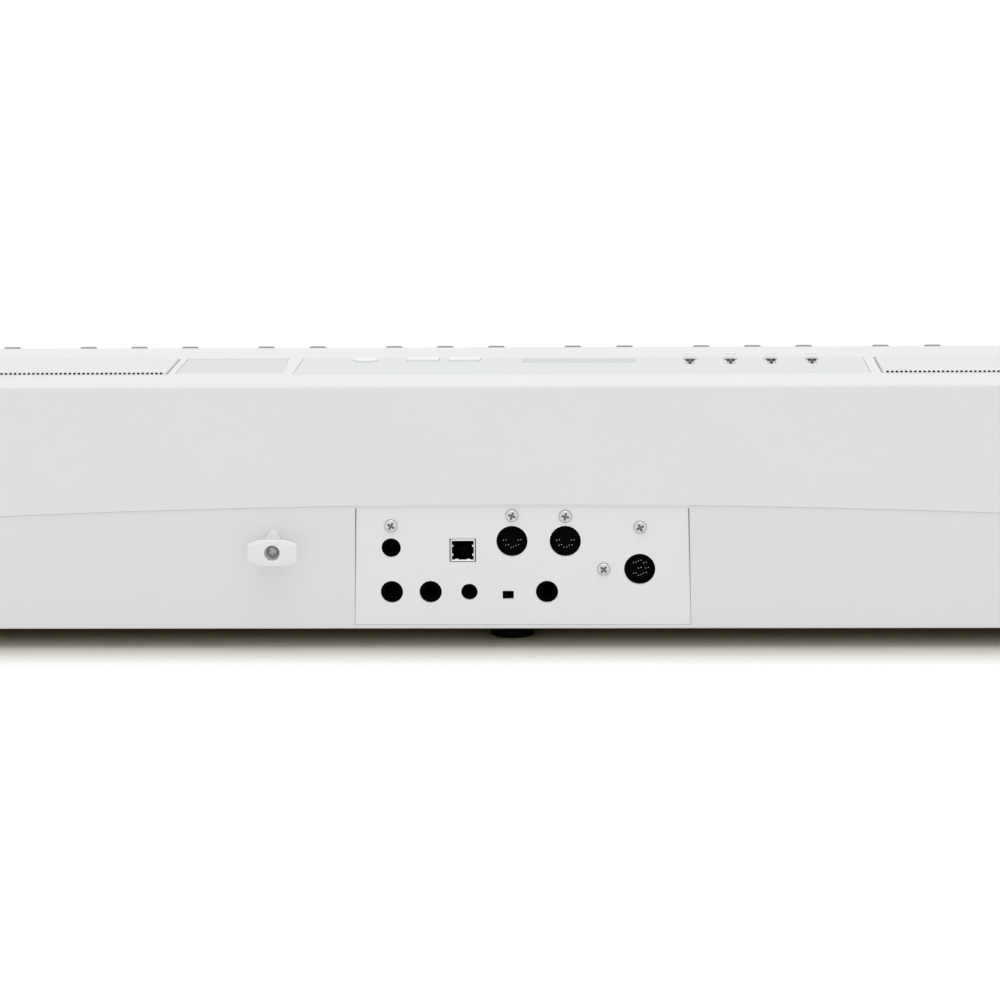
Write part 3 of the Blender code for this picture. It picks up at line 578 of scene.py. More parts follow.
@dataclass(frozen=True)
class BoardFinish:
    """Green solder mask with copper tracks under it and pale solder spots."""

    name: str
    colour: Colour

    def build(self) -> bpy.types.Material:
        """Makes the material."""
        tree = Tree(self.name)
        place = tree.place()
        edges = {"feature": "DISTANCE_TO_EDGE"}
        cells = tree.add("ShaderNodeTexVoronoi", edges, {"Vector": place, "Scale": 240.0})
        track = tree.out(cells, "Distance").under(0.12)
        spots = tree.add("ShaderNodeTexVoronoi", {}, {"Vector": place, "Scale": 300.0})
        solder = tree.out(spots, "Distance").under(0.16)
        mask = tree.mix(track, self.colour, shade(self.colour, 1.7))
        joint = tree.add("ShaderNodeMix", {"data_type": "RGBA"}, {0: solder, 6: mask})
        joint.inputs[7].default_value = (0.6, 0.6, 0.58, 1)
        tree.put(tree.shader, "Base Color", tree.out(joint, 2))
        tree.put(tree.shader, "Roughness", solder * 0.1 + 0.3)
        tree.bump(track, 0.2, 0.00005)
        return tree.material


@dataclass(frozen=True)
class FeltFinish:
    """Pressed wool felt, dull and fibrous."""

    name: str
    colour: Colour

    def build(self) -> bpy.types.Material:
        """Makes the material."""
        tree = Tree(self.name)
        fibres = tree.noise(tree.place((1.0, 3.0, 3.0)), 1400, 4, 0.7)
        wool = tree.mix(fibres, shade(self.colour, 0.6), shade(self.colour, 1.3))
        tree.put(tree.shader, "Base Color", wool)
        tree.put(tree.shader, "Roughness", 0.95)
        tree.put(tree.shader, "Sheen Weight", 0.4)
        tree.bump(fibres, 0.6, 0.0003)
        return tree.material


WHITE = MouldedPlastic("case_white", (0.845, 0.863, 0.855), 0.45)
LOWER_WHITE = MouldedPlastic("case_lower_white", (0.838, 0.838, 0.834), 0.47)
PLATE_WHITE = MouldedPlastic("plate_white", (0.885, 0.885, 0.884), 0.5, grain=0.18)
CLIP_WHITE = MouldedPlastic("clip_white", (0.90, 0.90, 0.89), 0.4, grain=0.08)
# The grille's holes are painted darker in this material, as painted shade of their insides.
GRILLE_WHITE = PerforatedPlastic(
    "grille_white", (0.84, 0.862, 0.855), 0.5, pitch=0.00228, radius=0.0004, top=0.13195
)
PANEL_WHITE = MouldedPlastic("panel_white", (0.755, 0.775, 0.782), 0.36, grain=0.05)
TRAY_WHITE = MouldedPlastic("tray_white", (0.75, 0.77, 0.765), 0.55, grain=0.3)
BUTTON_WHITE = MouldedPlastic("button_white", (0.93, 0.945, 0.94), 0.4, grain=0.04)
KEY_WHITE = PolishedPlastic("key_white", (0.87, 0.87, 0.845), 0.2)
KEY_BLACK = PolishedPlastic("key_black", (0.022, 0.022, 0.024), 0.3)
SOCKET_BLACK = MouldedPlastic(
    "socket_black", (0.003, 0.003, 0.0035), 0.8, drift=0.1, specular=0.02
)
# Also the dark bands of painted shade along the grille's rear edges; the data port's insert is
# black itself.
DEEP_BLACK = MouldedPlastic("deep_black", (0.002, 0.002, 0.002), 0.9, drift=0.1, specular=0.0)
SPEAKER_BLACK = MouldedPlastic("speaker_black", (0.035, 0.035, 0.037), 0.8, grain=0.4, drift=0.2)
RUBBER = MouldedPlastic(
    "foot_rubber", (0.004, 0.004, 0.0045), 0.8, grain=0.35, drift=0.15, specular=0.06
)
DOME_RUBBER = MouldedPlastic("dome_rubber", (0.32, 0.32, 0.31), 0.7, grain=0.2, drift=0.08)
WINDOW = PolishedPlastic("display_window", (0.56, 0.58, 0.58), 0.25)
PLATED = PlatedMetal("plated_steel", (0.72, 0.72, 0.71), 0.34)
SHELL_STEEL = PlatedMetal("shell_steel", (0.86, 0.86, 0.85), 0.4)
DARK_SCREW = PlatedMetal("darkened_steel", (0.42, 0.43, 0.42), 0.32)
CONTACT = PlatedMetal("contact_metal", (0.8, 0.79, 0.74), 0.3)
# Painted shade in the screws' cross recesses and round the feet of their heads.
SCREW_PAINTED_SHADE = MouldedPlastic("screw_painted_shade", (0.27, 0.27, 0.26), 0.7, drift=0.1, specular=0.1)
FRAME_STEEL = PlatedMetal("frame_steel", (0.55, 0.56, 0.57), 0.42)
BOARD = BoardFinish("board_green", (0.03, 0.17, 0.07))
FELT = FeltFinish("red_felt", (0.42, 0.03, 0.04))
DUST_FELT = FeltFinish("dust_felt", (0.75, 0.75, 0.75))

Finish = (
    MouldedPlastic | PerforatedPlastic | PolishedPlastic | PlatedMetal | BoardFinish | FeltFinish
)


class Workshop:
    """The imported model, and the finishes made so far."""

    def __init__(self, frame: dict[str, Any]) -> None:
        """Keeps the frame."""
        self.nodes = frame["nodes"]
        self.made: dict[str, bpy.types.Material] = {}

    def material(self, finish: Finish) -> bpy.types.Material:
        """The finish's material, made at its first use."""
        if finish.name not in self.made:
            self.made[finish.name] = finish.build()
        return self.made[finish.name]

    def dress(self, node: str, finish: Finish) -> None:
        """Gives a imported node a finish."""
        materials = self.nodes[node].data.materials
        materials.clear()
        materials.append(self.material(finish))
        log.info("dressed %s with %s", node, finish.name)

    def install(
        self,
        surface: Surface,
        name: str,
        finish: Finish,
        body: str,
        slot: str,
        stands_for: tuple[str, ...] = (),
    ) -> None:
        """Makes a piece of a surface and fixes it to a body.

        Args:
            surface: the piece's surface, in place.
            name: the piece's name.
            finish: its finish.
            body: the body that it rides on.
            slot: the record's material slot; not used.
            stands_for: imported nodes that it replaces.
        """
        piece = surface.piece(name)
        piece.data.materials.append(self.material(finish))
        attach(piece, body)
        if stands_for:
            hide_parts(*stands_for)
        log.info("made %s: %d faces", name, len(piece.data.polygons))


@dataclass
class Case:
    """The two halves of the case, the end blocks, the slip and the feet."""

    shop: Workshop
    uppers: tuple[str, ...] = ("upper_case", "end_block_left", "end_block_right", "key_slip")
    feet: tuple[tuple[str, float, float], ...] = (
        ("foot_rear_left", -0.600, 0.036),
        ("foot_rear_middle", 0.006, 0.036),
        ("foot_rear_right", 0.600, 0.036),
        ("foot_front_left", -0.600, 0.259),
        ("foot_front_right", 0.600, 0.259),
    )

    def seam_rib(self) -> Surface:
        """Rib behind the seam.

        A small rectangle is carried along X, and its height at x is the seam's:
        72 mm, less 5 mm times the square of x over 245 mm.

        Returns:
            The rib.
        """
        x = np.linspace(-0.66, 0.66, 81)
        seam = 0.072 - 0.005 * (x / 0.245) ** 2
        section = rectangle((at(0.0026), at(0.0008)), (-0.0012, 0.0014))
        across = np.broadcast_to(section[:, 0], (len(x), len(section)))
        return loft(np.stack([across, seam[:, None] + section[:, 1]], axis=2), x, Plane.SIDE)

    def foot(self, x: float, depth: float) -> Surface:
        """Rubber foot: circles out from a hollow in its sole, up its flared side and in again."""
        turned = (
            (0.0046, 0.0016), (0.0052, 0.0), (0.0096, 0.0), (0.01045, 0.0003), (0.01075, 0.001),
            (0.0122, 0.0076), (0.01245, 0.0084), (0.0125, 0.0092), (0.0121, 0.0097),
        )
        sections = np.stack([circle(x, at(depth), radius, 40) for radius, _ in turned])
        return loft(sections, np.array([height for _, height in turned]), Plane.LEVEL)

    def dress(self) -> None:
        """Gives the case's nodes their plastics."""
        self.shop.install(self.seam_rib(), "seam_rib", LOWER_WHITE, "case", "white_plastic")
        for node in self.uppers:
            self.shop.dress(node, WHITE)
        self.shop.dress("lower_case", LOWER_WHITE)
        for node, x, depth in self.feet:
            foot = self.foot(x, depth)
            self.shop.install(foot, f"turned_{node}", RUBBER, "case", "rubber", (node,))


@dataclass
class SpeakerCovers:
    """Speaker covers, with the row of fine holes along their rear edges drawn as dark bands of
    painted shade.
    """

    shop: Workshop
    inner: float = 0.1805
    outer: float = 0.4770
    depth: float = 0.0413
    height: float = 0.132
    pitch: float = 0.00228
    width: float = 0.00115
    edge_radius: float = 0.0011

    def painted_hole_shade_bands(self, side: int) -> Surface:
        """Row of dark bands, painted shade of the holes, that follow the cover's rounded rear edge.

        Each is a band between two arcs about the edge's own centre, a hair
        outside it and a little inside it, carried over the slot's width.

        Args:
            side: -1 for the left cover, 1 for the right.

        Returns:
            The row.
        """
        turn = np.radians(np.linspace(8, 62, 5))
        turns = np.concatenate([turn, turn[::-1]])
        radii = self.edge_radius + np.repeat([0.00002, -0.0003], 5)
        across = at(self.depth + self.edge_radius) + radii * np.cos(turns)
        up = self.height - self.edge_radius + radii * np.sin(turns)
        sections = np.broadcast_to(np.stack([across, up], axis=1), (2, len(turns), 2))
        ends = np.array([-self.width / 2, self.width / 2])
        centres = side * np.arange(self.inner, self.outer, self.pitch)
        return Surface.joined([loft(sections, x + ends, Plane.SIDE) for x in centres])

    def dress(self) -> None:
        """Finishes the covers and lays the rows of holes in as dark bands of painted shade."""
        for side, name in ((-1, "left"), (1, "right")):
            self.shop.dress(f"grille_{name}", GRILLE_WHITE)
            # painted shade: near-black bands stand for the holes along the rear edge, which are not
            # cut
            painted_hole_shade_bands, piece = self.painted_hole_shade_bands(side), f"grille_hole_shade_{name}"
            self.shop.install(painted_hole_shade_bands, piece, DEEP_BLACK, "case", "black_plastic")
            self.shop.dress(f"speaker_{name}", SPEAKER_BLACK)


@dataclass
class ControlStrip:
    """The control panel, its display, buttons, sliders and the tray beside it."""

    shop: Workshop
    sheet_top: float = TOP
    tray: tuple[tuple[float, float], ...] = (
        (0.1198, 0.0453), (0.1211, 0.0949), (0.1722, 0.0949), (0.1738, 0.0453)
    )
    tray_top: float = 0.1308
    window_x: tuple[float, float] = (-0.0556, 0.0021)
    window_depths: tuple[float, float] = (0.0777, 0.0918)
    buttons: tuple[tuple[str, float], ...] = (
        ("select_button_left", 0.0312), ("select_button_right", 0.0521)
    )
    button_half: tuple[float, float] = (0.0080, 0.0040)
    button_depth: float = 0.0885
    power: tuple[float, float] = (0.0811, 0.0875)
    power_radius: float = 0.0063
    button_rise: float = 0.0011
    sliders: tuple[float, ...] = (-0.083, -0.1035, -0.124, -0.1445)
    slider_depth: float = 0.0905
    slot_depths: tuple[float, float] = (0.0725, 0.0925)

    def tray_mat(self) -> Surface:
        """Floor of the tray beside the panel, with a soft edge."""
        plan = np.array([(x, at(depth)) for x, depth in self.tray])
        low = self.tray_top - 0.0009
        return slab(plan, rounded(low, self.tray_top, 0.00008), Plane.LEVEL)

    def window(self) -> Surface:
        """Window of the display, which fills the sheet's opening."""
        near, far = self.window_depths
        plan = rectangle(self.window_x, (at(far), at(near)), 0.0006)
        low, top = self.sheet_top - 0.0020, self.sheet_top - 0.00004
        return slab(plan, [(0.0, low), (0.0, top)], Plane.LEVEL)

    def button(self, plan: np.ndarray) -> Surface:
        """Button with a crowned top and a narrow skirt just under the sheet.

        The wall's profile goes from the skirt, 0.3 mm outside the plan, up to
        the shoulder, round a quarter circle and in to the crown.

        Args:
            plan: outline of the button, anticlockwise.

        Returns:
            The button.
        """
        skirt, top = self.sheet_top - 0.0004, self.sheet_top + self.button_rise
        profile = [(-0.0003, skirt - 0.0012), (-0.0003, skirt - 0.0001), (-0.0002, skirt)]
        profile.append((0.0, skirt))
        profile += rounded(skirt + 0.0001, top - 0.0001, 0.0004)
        profile += [(0.0006, top - 0.00003), (0.00075, top)]
        return slab(plan, profile, Plane.LEVEL)

    def slider_cap(self, x: float) -> Surface:
        """Slider cap: a pillow with a finger ridge across it, on its stem."""
        y = at(self.slider_depth)
        low, top = self.sheet_top + 0.0004, self.sheet_top + 0.0032
        base = rectangle((x - 0.0033, x + 0.0033), (y - 0.0038, y + 0.0038), 0.0008)
        insets, lifts = (0.0002, 0.0, 0.0, 0.0004, 0.0011), (0.0, 0.0002, 0.0012, 0.0018, 0.0021)
        pillow = [(distance, low + lift) for distance, lift in zip(insets, lifts)]
        ridge = rectangle((x - 0.0027, x + 0.0027), (y - 0.0008, y + 0.0008), 0.0005)
        stem = rectangle((x - 0.0006, x + 0.0006), (y - 0.0015, y + 0.0015))
        return Surface.joined([
            slab(base, pillow, Plane.LEVEL),
            slab(ridge, rounded(low + 0.0019, top, 0.0004), Plane.LEVEL),
            slab(stem, [(0.0, self.sheet_top - 0.0089), (0.0, low + 0.0001)], Plane.LEVEL),
        ])

    def dust_strip(self, x: float) -> Surface:
        """Felt strip under a slider's slot, with a slit for the stem."""
        near, far = (at(depth) for depth in self.slot_depths)
        outer = rectangle((x - 0.0024, x + 0.0024), (far - 0.0003, near + 0.0003))
        slit = rectangle((x - 0.0008, x + 0.0008), (far + 0.0002, near - 0.0002))
        return hoop(outer, slit, self.sheet_top - 0.0011, self.sheet_top - 0.0008, Plane.LEVEL)

    def dress(self) -> None:
        """Finishes the panel and puts in its controls."""
        install, slot = self.shop.install, "white_plastic"
        install(self.tray_mat(), "tray_mat", TRAY_WHITE, "case", slot)
        self.shop.dress("control_panel", PANEL_WHITE)
        window = self.window()
        install(window, "domed_window", WINDOW, "case", "display_glass", ("display_window",))
        half_x, half_y = self.button_half
        y = at(self.button_depth)
        plans = {
            node: rectangle((x - half_x, x + half_x), (y - half_y, y + half_y), 0.0008)
            for node, x in self.buttons
        }
        plans["power_button"] = circle(self.power[0], at(self.power[1]), self.power_radius, 48)
        for node, plan in plans.items():
            install(self.button(plan), f"crowned_{node}", BUTTON_WHITE, node, slot, (node,))
        for number, x in enumerate(self.sliders, start=1):
            node = f"slider_knob_{number}"
            install(self.slider_cap(x), f"ridged_{node}", BUTTON_WHITE, node, slot, (node,))
        strips = Surface.joined([self.dust_strip(x) for x in self.sliders])
        install(strips, "slider_dust_strips", DUST_FELT, "case", "black_plastic")


@dataclass
class RearPanel:
    """The recessed plate with its sockets, the cord clip and the screws."""

    shop: Workshop
    plate: tuple[tuple[float, float], ...] = (
        (-0.0826, 0.0122), (0.0826, 0.0122), (0.0812, 0.0714), (-0.0812, 0.0714)
    )
    plate_face: float = 0.0012
    plate_gap: float = 0.0003
    clearance: float = 0.00002
    screws: tuple[tuple[float, float, float], ...] = (
        (0.0645, 0.0615, 30),
        (0.0050, 0.0665, 20),
        (-0.0212, 0.0661, 12),
        (-0.0579, 0.0606, 65),
        (-0.0399, 0.0397, 40),
    )
    screw_radius: float = 0.00305
    round_sockets: tuple[tuple[float, float], ...] = ((0.0051, 0.0537), (-0.0211, 0.0537))
    pedal: tuple[float, float] = (-0.0576, 0.0397)
    insert_depth: float = 0.0052
    pin_circle: float = 0.0036
    usb: tuple[float, float] = (0.0293, 0.0492)
    switch: tuple[float, float] = (0.0071, 0.0269)
    clip: tuple[float, float] = (0.1224, 0.0498)
    clip_back: float = -0.0072
    clip_front: float = -0.0095
    clip_bore: float = 0.0038
    clip_bore_floor: float = -0.0040
    sockets: tuple[str, ...] = (
        "phone_jack_1", "phone_jack_2", "phone_jack_3", "mini_jack", "dc_inlet",
        "midi_socket_left", "midi_socket_right", "pedal_socket", "switch_body",
    )

    def gasket(self) -> Surface:
        """Pale strip in the gap round the plate, a little behind its face."""
        plate = np.array(self.plate)
        back, face = at(self.plate_face + 0.0018), at(self.plate_face + 0.00003)
        outer, inner = inset(plate, self.clearance - self.plate_gap), inset(plate, -self.clearance)
        return hoop(outer, inner, back, face, Plane.UPRIGHT)

    @staticmethod
    def cross(place: tuple[float, float, float], radius: float) -> np.ndarray:
        """Outline of a cross recess.

        Its radius at an angle is the greater of two crossed bars'; a bar reaches
        its half length over the cosine, or its half width over the sine,
        whichever is less.

        Args:
            place: across, up, and how far the cross is turned in degrees.
            radius: of the screw's head.

        Returns:
            64 corners.
        """
        turn = np.arange(64) * 2 * math.pi / 64 + 1e-6
        along, over = np.abs(np.cos(turn)), np.abs(np.sin(turn))
        arm, half_width = 0.62 * radius, 0.19 * radius
        level = np.minimum(arm / along, half_width / over)
        upright = np.minimum(arm / over, half_width / along)
        reach = np.maximum(level, upright)[:, None]
        angle = turn + math.radians(place[2])
        return np.array(place[:2]) + np.stack([np.cos(angle), np.sin(angle)], axis=1) * reach

    def screw(self, place: tuple[float, float, float], depth: float, radius: float) -> Surface:
        """Pan-head screw: rings up its edge and in over the dome, and the cross recess.

        Args:
            place: across, up, and how far the cross is turned in degrees.
            depth: of the face that the head rests on.
            radius: of the head.

        Returns:
            The head.
        """
        centre, cross = np.array(place[:2]), self.cross(place, radius)
        turn = np.arange(64) * 2 * math.pi / 64 + math.radians(place[2])
        ring = np.stack([np.cos(turn), np.sin(turn)], axis=1) * radius
        sections = [centre + ring * share for share in (1.0, 1.0, 0.94, 0.82)]
        sections += [cross, centre + (cross - centre) * 0.9]
        lifts = np.array([0.0, 0.16, 0.32, 0.42, 0.48, 0.08]) * radius
        return loft(np.stack(sections), at(depth) + lifts, Plane.UPRIGHT)

    def screw_shade(
        self, place: tuple[float, float, float], depth: float, radius: float
    ) -> Surface:
        """Painted shade: a dark cross in a screw's recess and a dark ring round the foot of its
        head.
        """
        floor, face = self.cross(place, radius * 0.88), at(depth)
        lifts = np.array([0.04, 0.16]) * radius
        deep = loft(np.stack([floor, floor]), face + lifts, Plane.UPRIGHT)
        outer, inner = (circle(*place[:2], radius * share, 48) for share in (1.045, 0.99))
        return Surface.joined([deep, hoop(outer, inner, face, face + 0.0001, Plane.UPRIGHT)])

    def contacts(self) -> Surface:
        """Round sockets' contacts, on a circle with a gap for the plug's key."""
        made = [self.leaves(*self.pedal)]
        spread = [(socket, (180, 225, 270, 315, 360)) for socket in self.round_sockets]
        spread.append((self.pedal, (49, 90, 135, 180, 225, 270, 311)))
        for (x, z), angles in spread:
            for turn in np.radians(angles):
                across, up = self.pin_circle * math.cos(turn), self.pin_circle * math.sin(turn)
                made.append(self.leaves(x + across, z + up))
        return Surface.joined(made)

    def leaves(self, x: float, z: float) -> Surface:
        """The two spring leaves of a contact, which end just above the socket's floor."""
        back, tip = at(self.insert_depth + 0.0002), at(self.insert_depth - 0.0003)
        made = []
        for side in (-1, 1):
            leaf = box_about(x + side * 0.00065, z - side * 0.00015, 0.00022, 0.00018, 0.0001)
            profile = [(0.0, back), (0.0, tip - 0.0001), (0.00005, tip)]
            made.append(slab(leaf, profile, Plane.UPRIGHT))
        return Surface.joined(made)

    def usb_shell(self) -> Surface:
        """Folded metal shell of the square data port."""
        outer = box_about(*self.usb, 0.00602, 0.00543, 0.0004)
        inner = box_about(*self.usb, 0.00535, 0.00470, 0.0002)
        return hoop(outer, inner, at(0.0177), at(0.0010), Plane.UPRIGHT)

    def usb_springs(self) -> Surface:
        """Small springs on the inside of the shell: two to each side and two on its floor."""
        x, z = self.usb
        profile = [(0.0, at(0.0060)), (0.0, at(0.0016)), (0.0001, at(0.0014))]
        plans = []
        for side in (-1, 1):
            wall = x + side * 0.0050
            plans += [box_about(wall, z + lift, 0.0004, 0.0006) for lift in (-0.0022, 0.0022)]
            plans.append(box_about(x + side * 0.0029, z - 0.0045, 0.0009, 0.0003))
        return Surface.joined([slab(plan, profile, Plane.UPRIGHT) for plan in plans])

    def usb_insert(self) -> Surface:
        """Black insert whose mouth has two cut corners, with the tongue in it.

        The mouth's wall goes up from its floor to the rim, out to the shell and
        back: both outlines are taken at the same angles about the middle.

        Returns:
            The insert.
        """
        x, z = self.usb
        mouth = np.array([
            (-0.0042, -0.0038), (0.0042, -0.0038), (0.0042, 0.0020),
            (0.0024, 0.0038), (-0.0024, 0.0038), (-0.0042, 0.0020),
        ]) + self.usb
        rim, hole = (sampled(plan, self.usb) for plan in (box_about(x, z, 0.0052, 0.0046), mouth))
        heights = np.array([at(0.0170), at(0.0022), at(0.0024), at(0.0110)])
        body = loft(np.stack([rim, rim, hole, hole]), heights, Plane.UPRIGHT)
        tongue = box_about(x, z - 0.0001, 0.0028, 0.0015, 0.0003)
        profile = rounded(at(0.0120), at(0.0045), 0.0003)
        return Surface.joined([body, slab(tongue, profile, Plane.UPRIGHT)])

    def switch_knob(self) -> Surface:
        """Knob of the slide switch, with three ribs across it."""
        x, z = self.switch
        body = box_about(x + 0.00125, z, 0.00115, 0.0017, 0.0002)
        profile = [(0.0, at(0.0074)), (0.0, at(0.0024)), (0.0002, at(0.0022))]
        made = [slab(body, profile, Plane.UPRIGHT)]
        profile = [(0.0, at(0.0024)), (0.0, at(0.0018)), (0.0001, at(0.0017))]
        for step in range(3):
            rib = box_about(x + 0.00045 + step * 0.00075, z, 0.0002, 0.0015)
            made.append(slab(rib, profile, Plane.UPRIGHT))
        return Surface.joined(made)

    def cord_clip(self) -> Surface:
        """Clip: a post, an eight-sided plate with rounded edges, and the screw's counterbore.

        Every section is taken at the same angles about the post. They run up the
        post, out under the plate, round its edge, in over its face and down the
        counterbore.

        Returns:
            The clip, with the round tab above it.
        """
        half, flat, tall, short = 0.0120, 0.0060, 0.00645, 0.0045
        lower = np.array([(-half, -short), (-flat, -tall), (flat, -tall), (half, -short)])
        plan = np.concatenate([lower, -lower]) + self.clip
        steps, back, front, bore = 96, self.clip_back, self.clip_front, self.clip_bore
        edge = ((0.0003, 0.0), (0.0, 0.0003), (0.0, 0.0018), (0.0002, 0.0021), (0.0006, 0.0023))
        rings = [(0.0047, 0.0003), (0.0047, back + 0.0008), (0.0053, back)]
        inner = [(bore + 0.0002, front), (bore, front + 0.0002), (bore, self.clip_bore_floor)]
        sections = [circle(*self.clip, radius, steps) for radius, _ in rings]
        sections += [sampled(inset(plan, distance), self.clip, steps) for distance, _ in edge]
        sections += [circle(*self.clip, radius, steps) for radius, _ in inner]
        depths = [depth for _, depth in rings] + [back - rise for _, rise in edge]
        depths += [depth for _, depth in inner]
        body = loft(np.stack(sections), np.array([at(depth) for depth in depths]), Plane.UPRIGHT)
        turn = np.radians(np.linspace(20, 160, 9))
        crown = np.stack([0.0023 * np.cos(turn), 0.0080 + 0.0023 * np.sin(turn)], axis=1)
        side, shoulder = 0.0041, 0.0052
        corners = [(-side, 0.0), (side, 0.0), (side, shoulder), *crown, (-side, shoulder)]
        profile = rounded(at(0.0003), at(-0.0008), 0.0003)
        return Surface.joined([body, slab(np.array(corners) + self.clip, profile, Plane.UPRIGHT)])

    def dress(self) -> None:
        """Finishes the plate and its sockets, and puts in the screws and contacts."""
        install, white, metal = self.shop.install, "white_plastic", "bright_metal"
        self.shop.dress("jack_plate", PLATE_WHITE)
        install(self.gasket(), "plate_gasket", PLATE_WHITE, "case", white)
        install(self.cord_clip(), "moulded_clip", CLIP_WHITE, "case", white, ("cord_clip",))
        for node in self.sockets:
            self.shop.dress(node, SOCKET_BLACK)
        knob, node = self.switch_knob(), "switch_knob"
        install(knob, "ribbed_knob", SOCKET_BLACK, node, "black_plastic", (node,))
        install(self.usb_shell(), "usb_shell", SHELL_STEEL, "case", metal, ("usb_port",))
        install(self.usb_insert(), "usb_insert", DEEP_BLACK, "case", "black_plastic")
        install(self.usb_springs(), "usb_springs", SHELL_STEEL, "case", metal)
        face, radius = self.plate_face, self.screw_radius
        heads = Surface.joined([self.screw(place, face, radius) for place in self.screws])
        install(heads, "plate_screws", PLATED, "case", metal)
        # painted shade in the screws' recesses and round their heads
        shades = Surface.joined([self.screw_shade(place, face, radius) for place in self.screws])
        install(shades, "screw_shades", SCREW_PAINTED_SHADE, "case", metal)
        head = self.screw((*self.clip, 38), self.clip_bore_floor, 0.0030)
        install(head, "clip_screw", DARK_SCREW, "case", metal)
        install(self.contacts(), "socket_contacts", CONTACT, "case", metal)


# Black keys of an octave: the boundary between white keys that each is near, and how far off it
SHARP_PLACES: dict[str, tuple[int, float]] = {
    "c#": (1, -0.0021), "d#": (2, 0.0021), "f#": (4, -0.0039), "g#": (5, 0.0), "a#": (6, 0.0039)
}


@dataclass
class Keyboard:
    """Full-size keys, octave by octave, each set on its own body."""

    shop: Workshop
    pitch: float = 0.0235
    gap: float = 0.0005
    top: float = 0.106
    plate: float = 0.009
    lip_foot: float = 0.086
    front: float = 0.283
    notch: float = 0.2295
    step: float = 0.134
    tail_end: float = 0.0955
    tail_half: float = 0.0059
    black_front: float = 0.228
    black_rear: float = 0.131
    black_top: float = 0.119
    black_half: float = 0.0055
    black_foot: float = 0.0985
    black_shoulder: float = 0.1075
    clearance: float = 0.001
    corner: float = 0.0008
    tip_radius: float = 0.0013
    notes: tuple[str, ...] = ("c", "c#", "d", "d#", "e", "f", "f#", "g", "g#", "a", "a#", "b")

    def sharp_x(self, note: str) -> float:
        """Middle of a black key in the octave that starts at X = 0."""
        boundary, offset = SHARP_PLACES[note]
        return boundary * self.pitch + offset

    def white(self, note: str, left_sharp: bool, right_sharp: bool) -> Surface:
        """White key: a plate with a rounded rim, notched for its black keys, and a front lip.

        Args:
            note: the key's name.
            left_sharp: whether a black key stands on its left.
            right_sharp: whether one stands on its right.

        Returns:
            The key, in the octave that starts at X = 0.
        """
        number = "cdefgab".index(note)
        left, right = number * self.pitch + self.gap, (number + 1) * self.pitch - self.gap
        reach = self.black_half + self.clearance
        index = self.notes.index(note)
        notch_left = self.sharp_x(self.notes[index - 1]) + reach if left_sharp else left
        notch_right = self.sharp_x(self.notes[index + 1]) - reach if right_sharp else right
        middle = (index + 0.5) * self.pitch * 7 / 12
        tail_left = max(middle - self.tail_half, notch_left)
        tail_right = min(middle + self.tail_half, notch_right)
        corner, front = self.corner, at(self.front)
        outline = [(left + corner, front), (right - corner, front), (right, front + corner)]
        if right_sharp:
            outline += [(right, at(self.notch)), (notch_right, at(self.notch))]
        if tail_right < notch_right - 1e-6:
            outline += [(notch_right, at(self.step)), (tail_right, at(self.step))]
        outline += [(tail_right, at(self.tail_end)), (tail_left, at(self.tail_end))]
        if tail_left > notch_left + 1e-6:
            outline += [(tail_left, at(self.step)), (notch_left, at(self.step))]
        if left_sharp:
            outline += [(notch_left, at(self.notch)), (left, at(self.notch))]
        outline.append((left, front + corner))
        profile = rounded(self.top - self.plate, self.top, 0.0007)
        plate = slab(np.array(outline), profile, Plane.LEVEL)
        lip = rectangle((left, right), (front, front + 0.003), 0.0007, 2)
        foot = self.lip_foot
        profile = [(0.0004, foot), (0.0, foot + 0.0004), (0.0, self.top - 0.003)]
        return Surface.joined([plate, slab(lip, profile, Plane.LEVEL)])

    def black(self, note: str) -> Surface:
        """Black key: a tapering block with rounded edges and a sloping front, on its shank."""
        middle, half = self.sharp_x(note), self.black_half
        plan = rectangle((middle - half, middle + half), (at(self.black_front), at(self.tail_end)))
        shank = slab(plan, [(0.0, self.black_foot), (0.0, self.black_shoulder)], Plane.LEVEL)
        radius = self.tip_radius
        turn = np.linspace(0, math.pi / 2, 5)
        rise = self.black_top - self.black_shoulder
        heights = [self.black_shoulder - 0.001, *(self.black_top - radius + radius * np.sin(turn))]
        sections = []
        for height, extra in zip(heights, [0.0, *(radius * (1 - np.cos(turn)))]):
            share = max(0.0, (height - self.black_shoulder) / rise)
            half = self.black_half - 0.0009 * share - extra
            front = at(self.black_front) + 0.003 * share + extra * 1.2
            rear = at(self.black_rear) - extra
            sections.append(rectangle((middle - half, middle + half), (front, rear), self.corner))
        return Surface.joined([shank, loft(np.stack(sections), np.array(heights), Plane.LEVEL)])

    def rail(self, start: float, notes: tuple[str, ...]) -> Surface:
        """The rail that joins a set's tails, on which it turns."""
        low, high = (0.107, 0.110) if "#" in notes[0] else (0.0945, 0.0975)
        step = self.pitch * 7 / 12
        first, last = (start + (self.notes.index(notes[end]) + 0.5) * step for end in (0, -1))
        plan = rectangle((first - 0.0052, last + 0.0052), (at(0.102), at(0.0955)))
        return slab(plan, [(0.0, low), (0.0, high - 0.0003), (0.0003, high)], Plane.LEVEL)

    def sets(self) -> list[tuple[str, int, tuple[str, ...]]]:
        """Name, octave and notes of each set of keys."""
        whites = ("c", "d", "e", "f", "g", "a", "b")
        sharps = ("c#", "d#", "f#", "g#", "a#")
        found = [("low_whites", 0, ("a", "b")), ("low_sharp", 0, ("a#",))]
        for octave in range(1, 8):
            found.append((f"octave_{octave}_whites", octave, whites))
            found.append((f"octave_{octave}_sharps", octave, sharps))
        return found + [("top_c", 8, ("c",))]

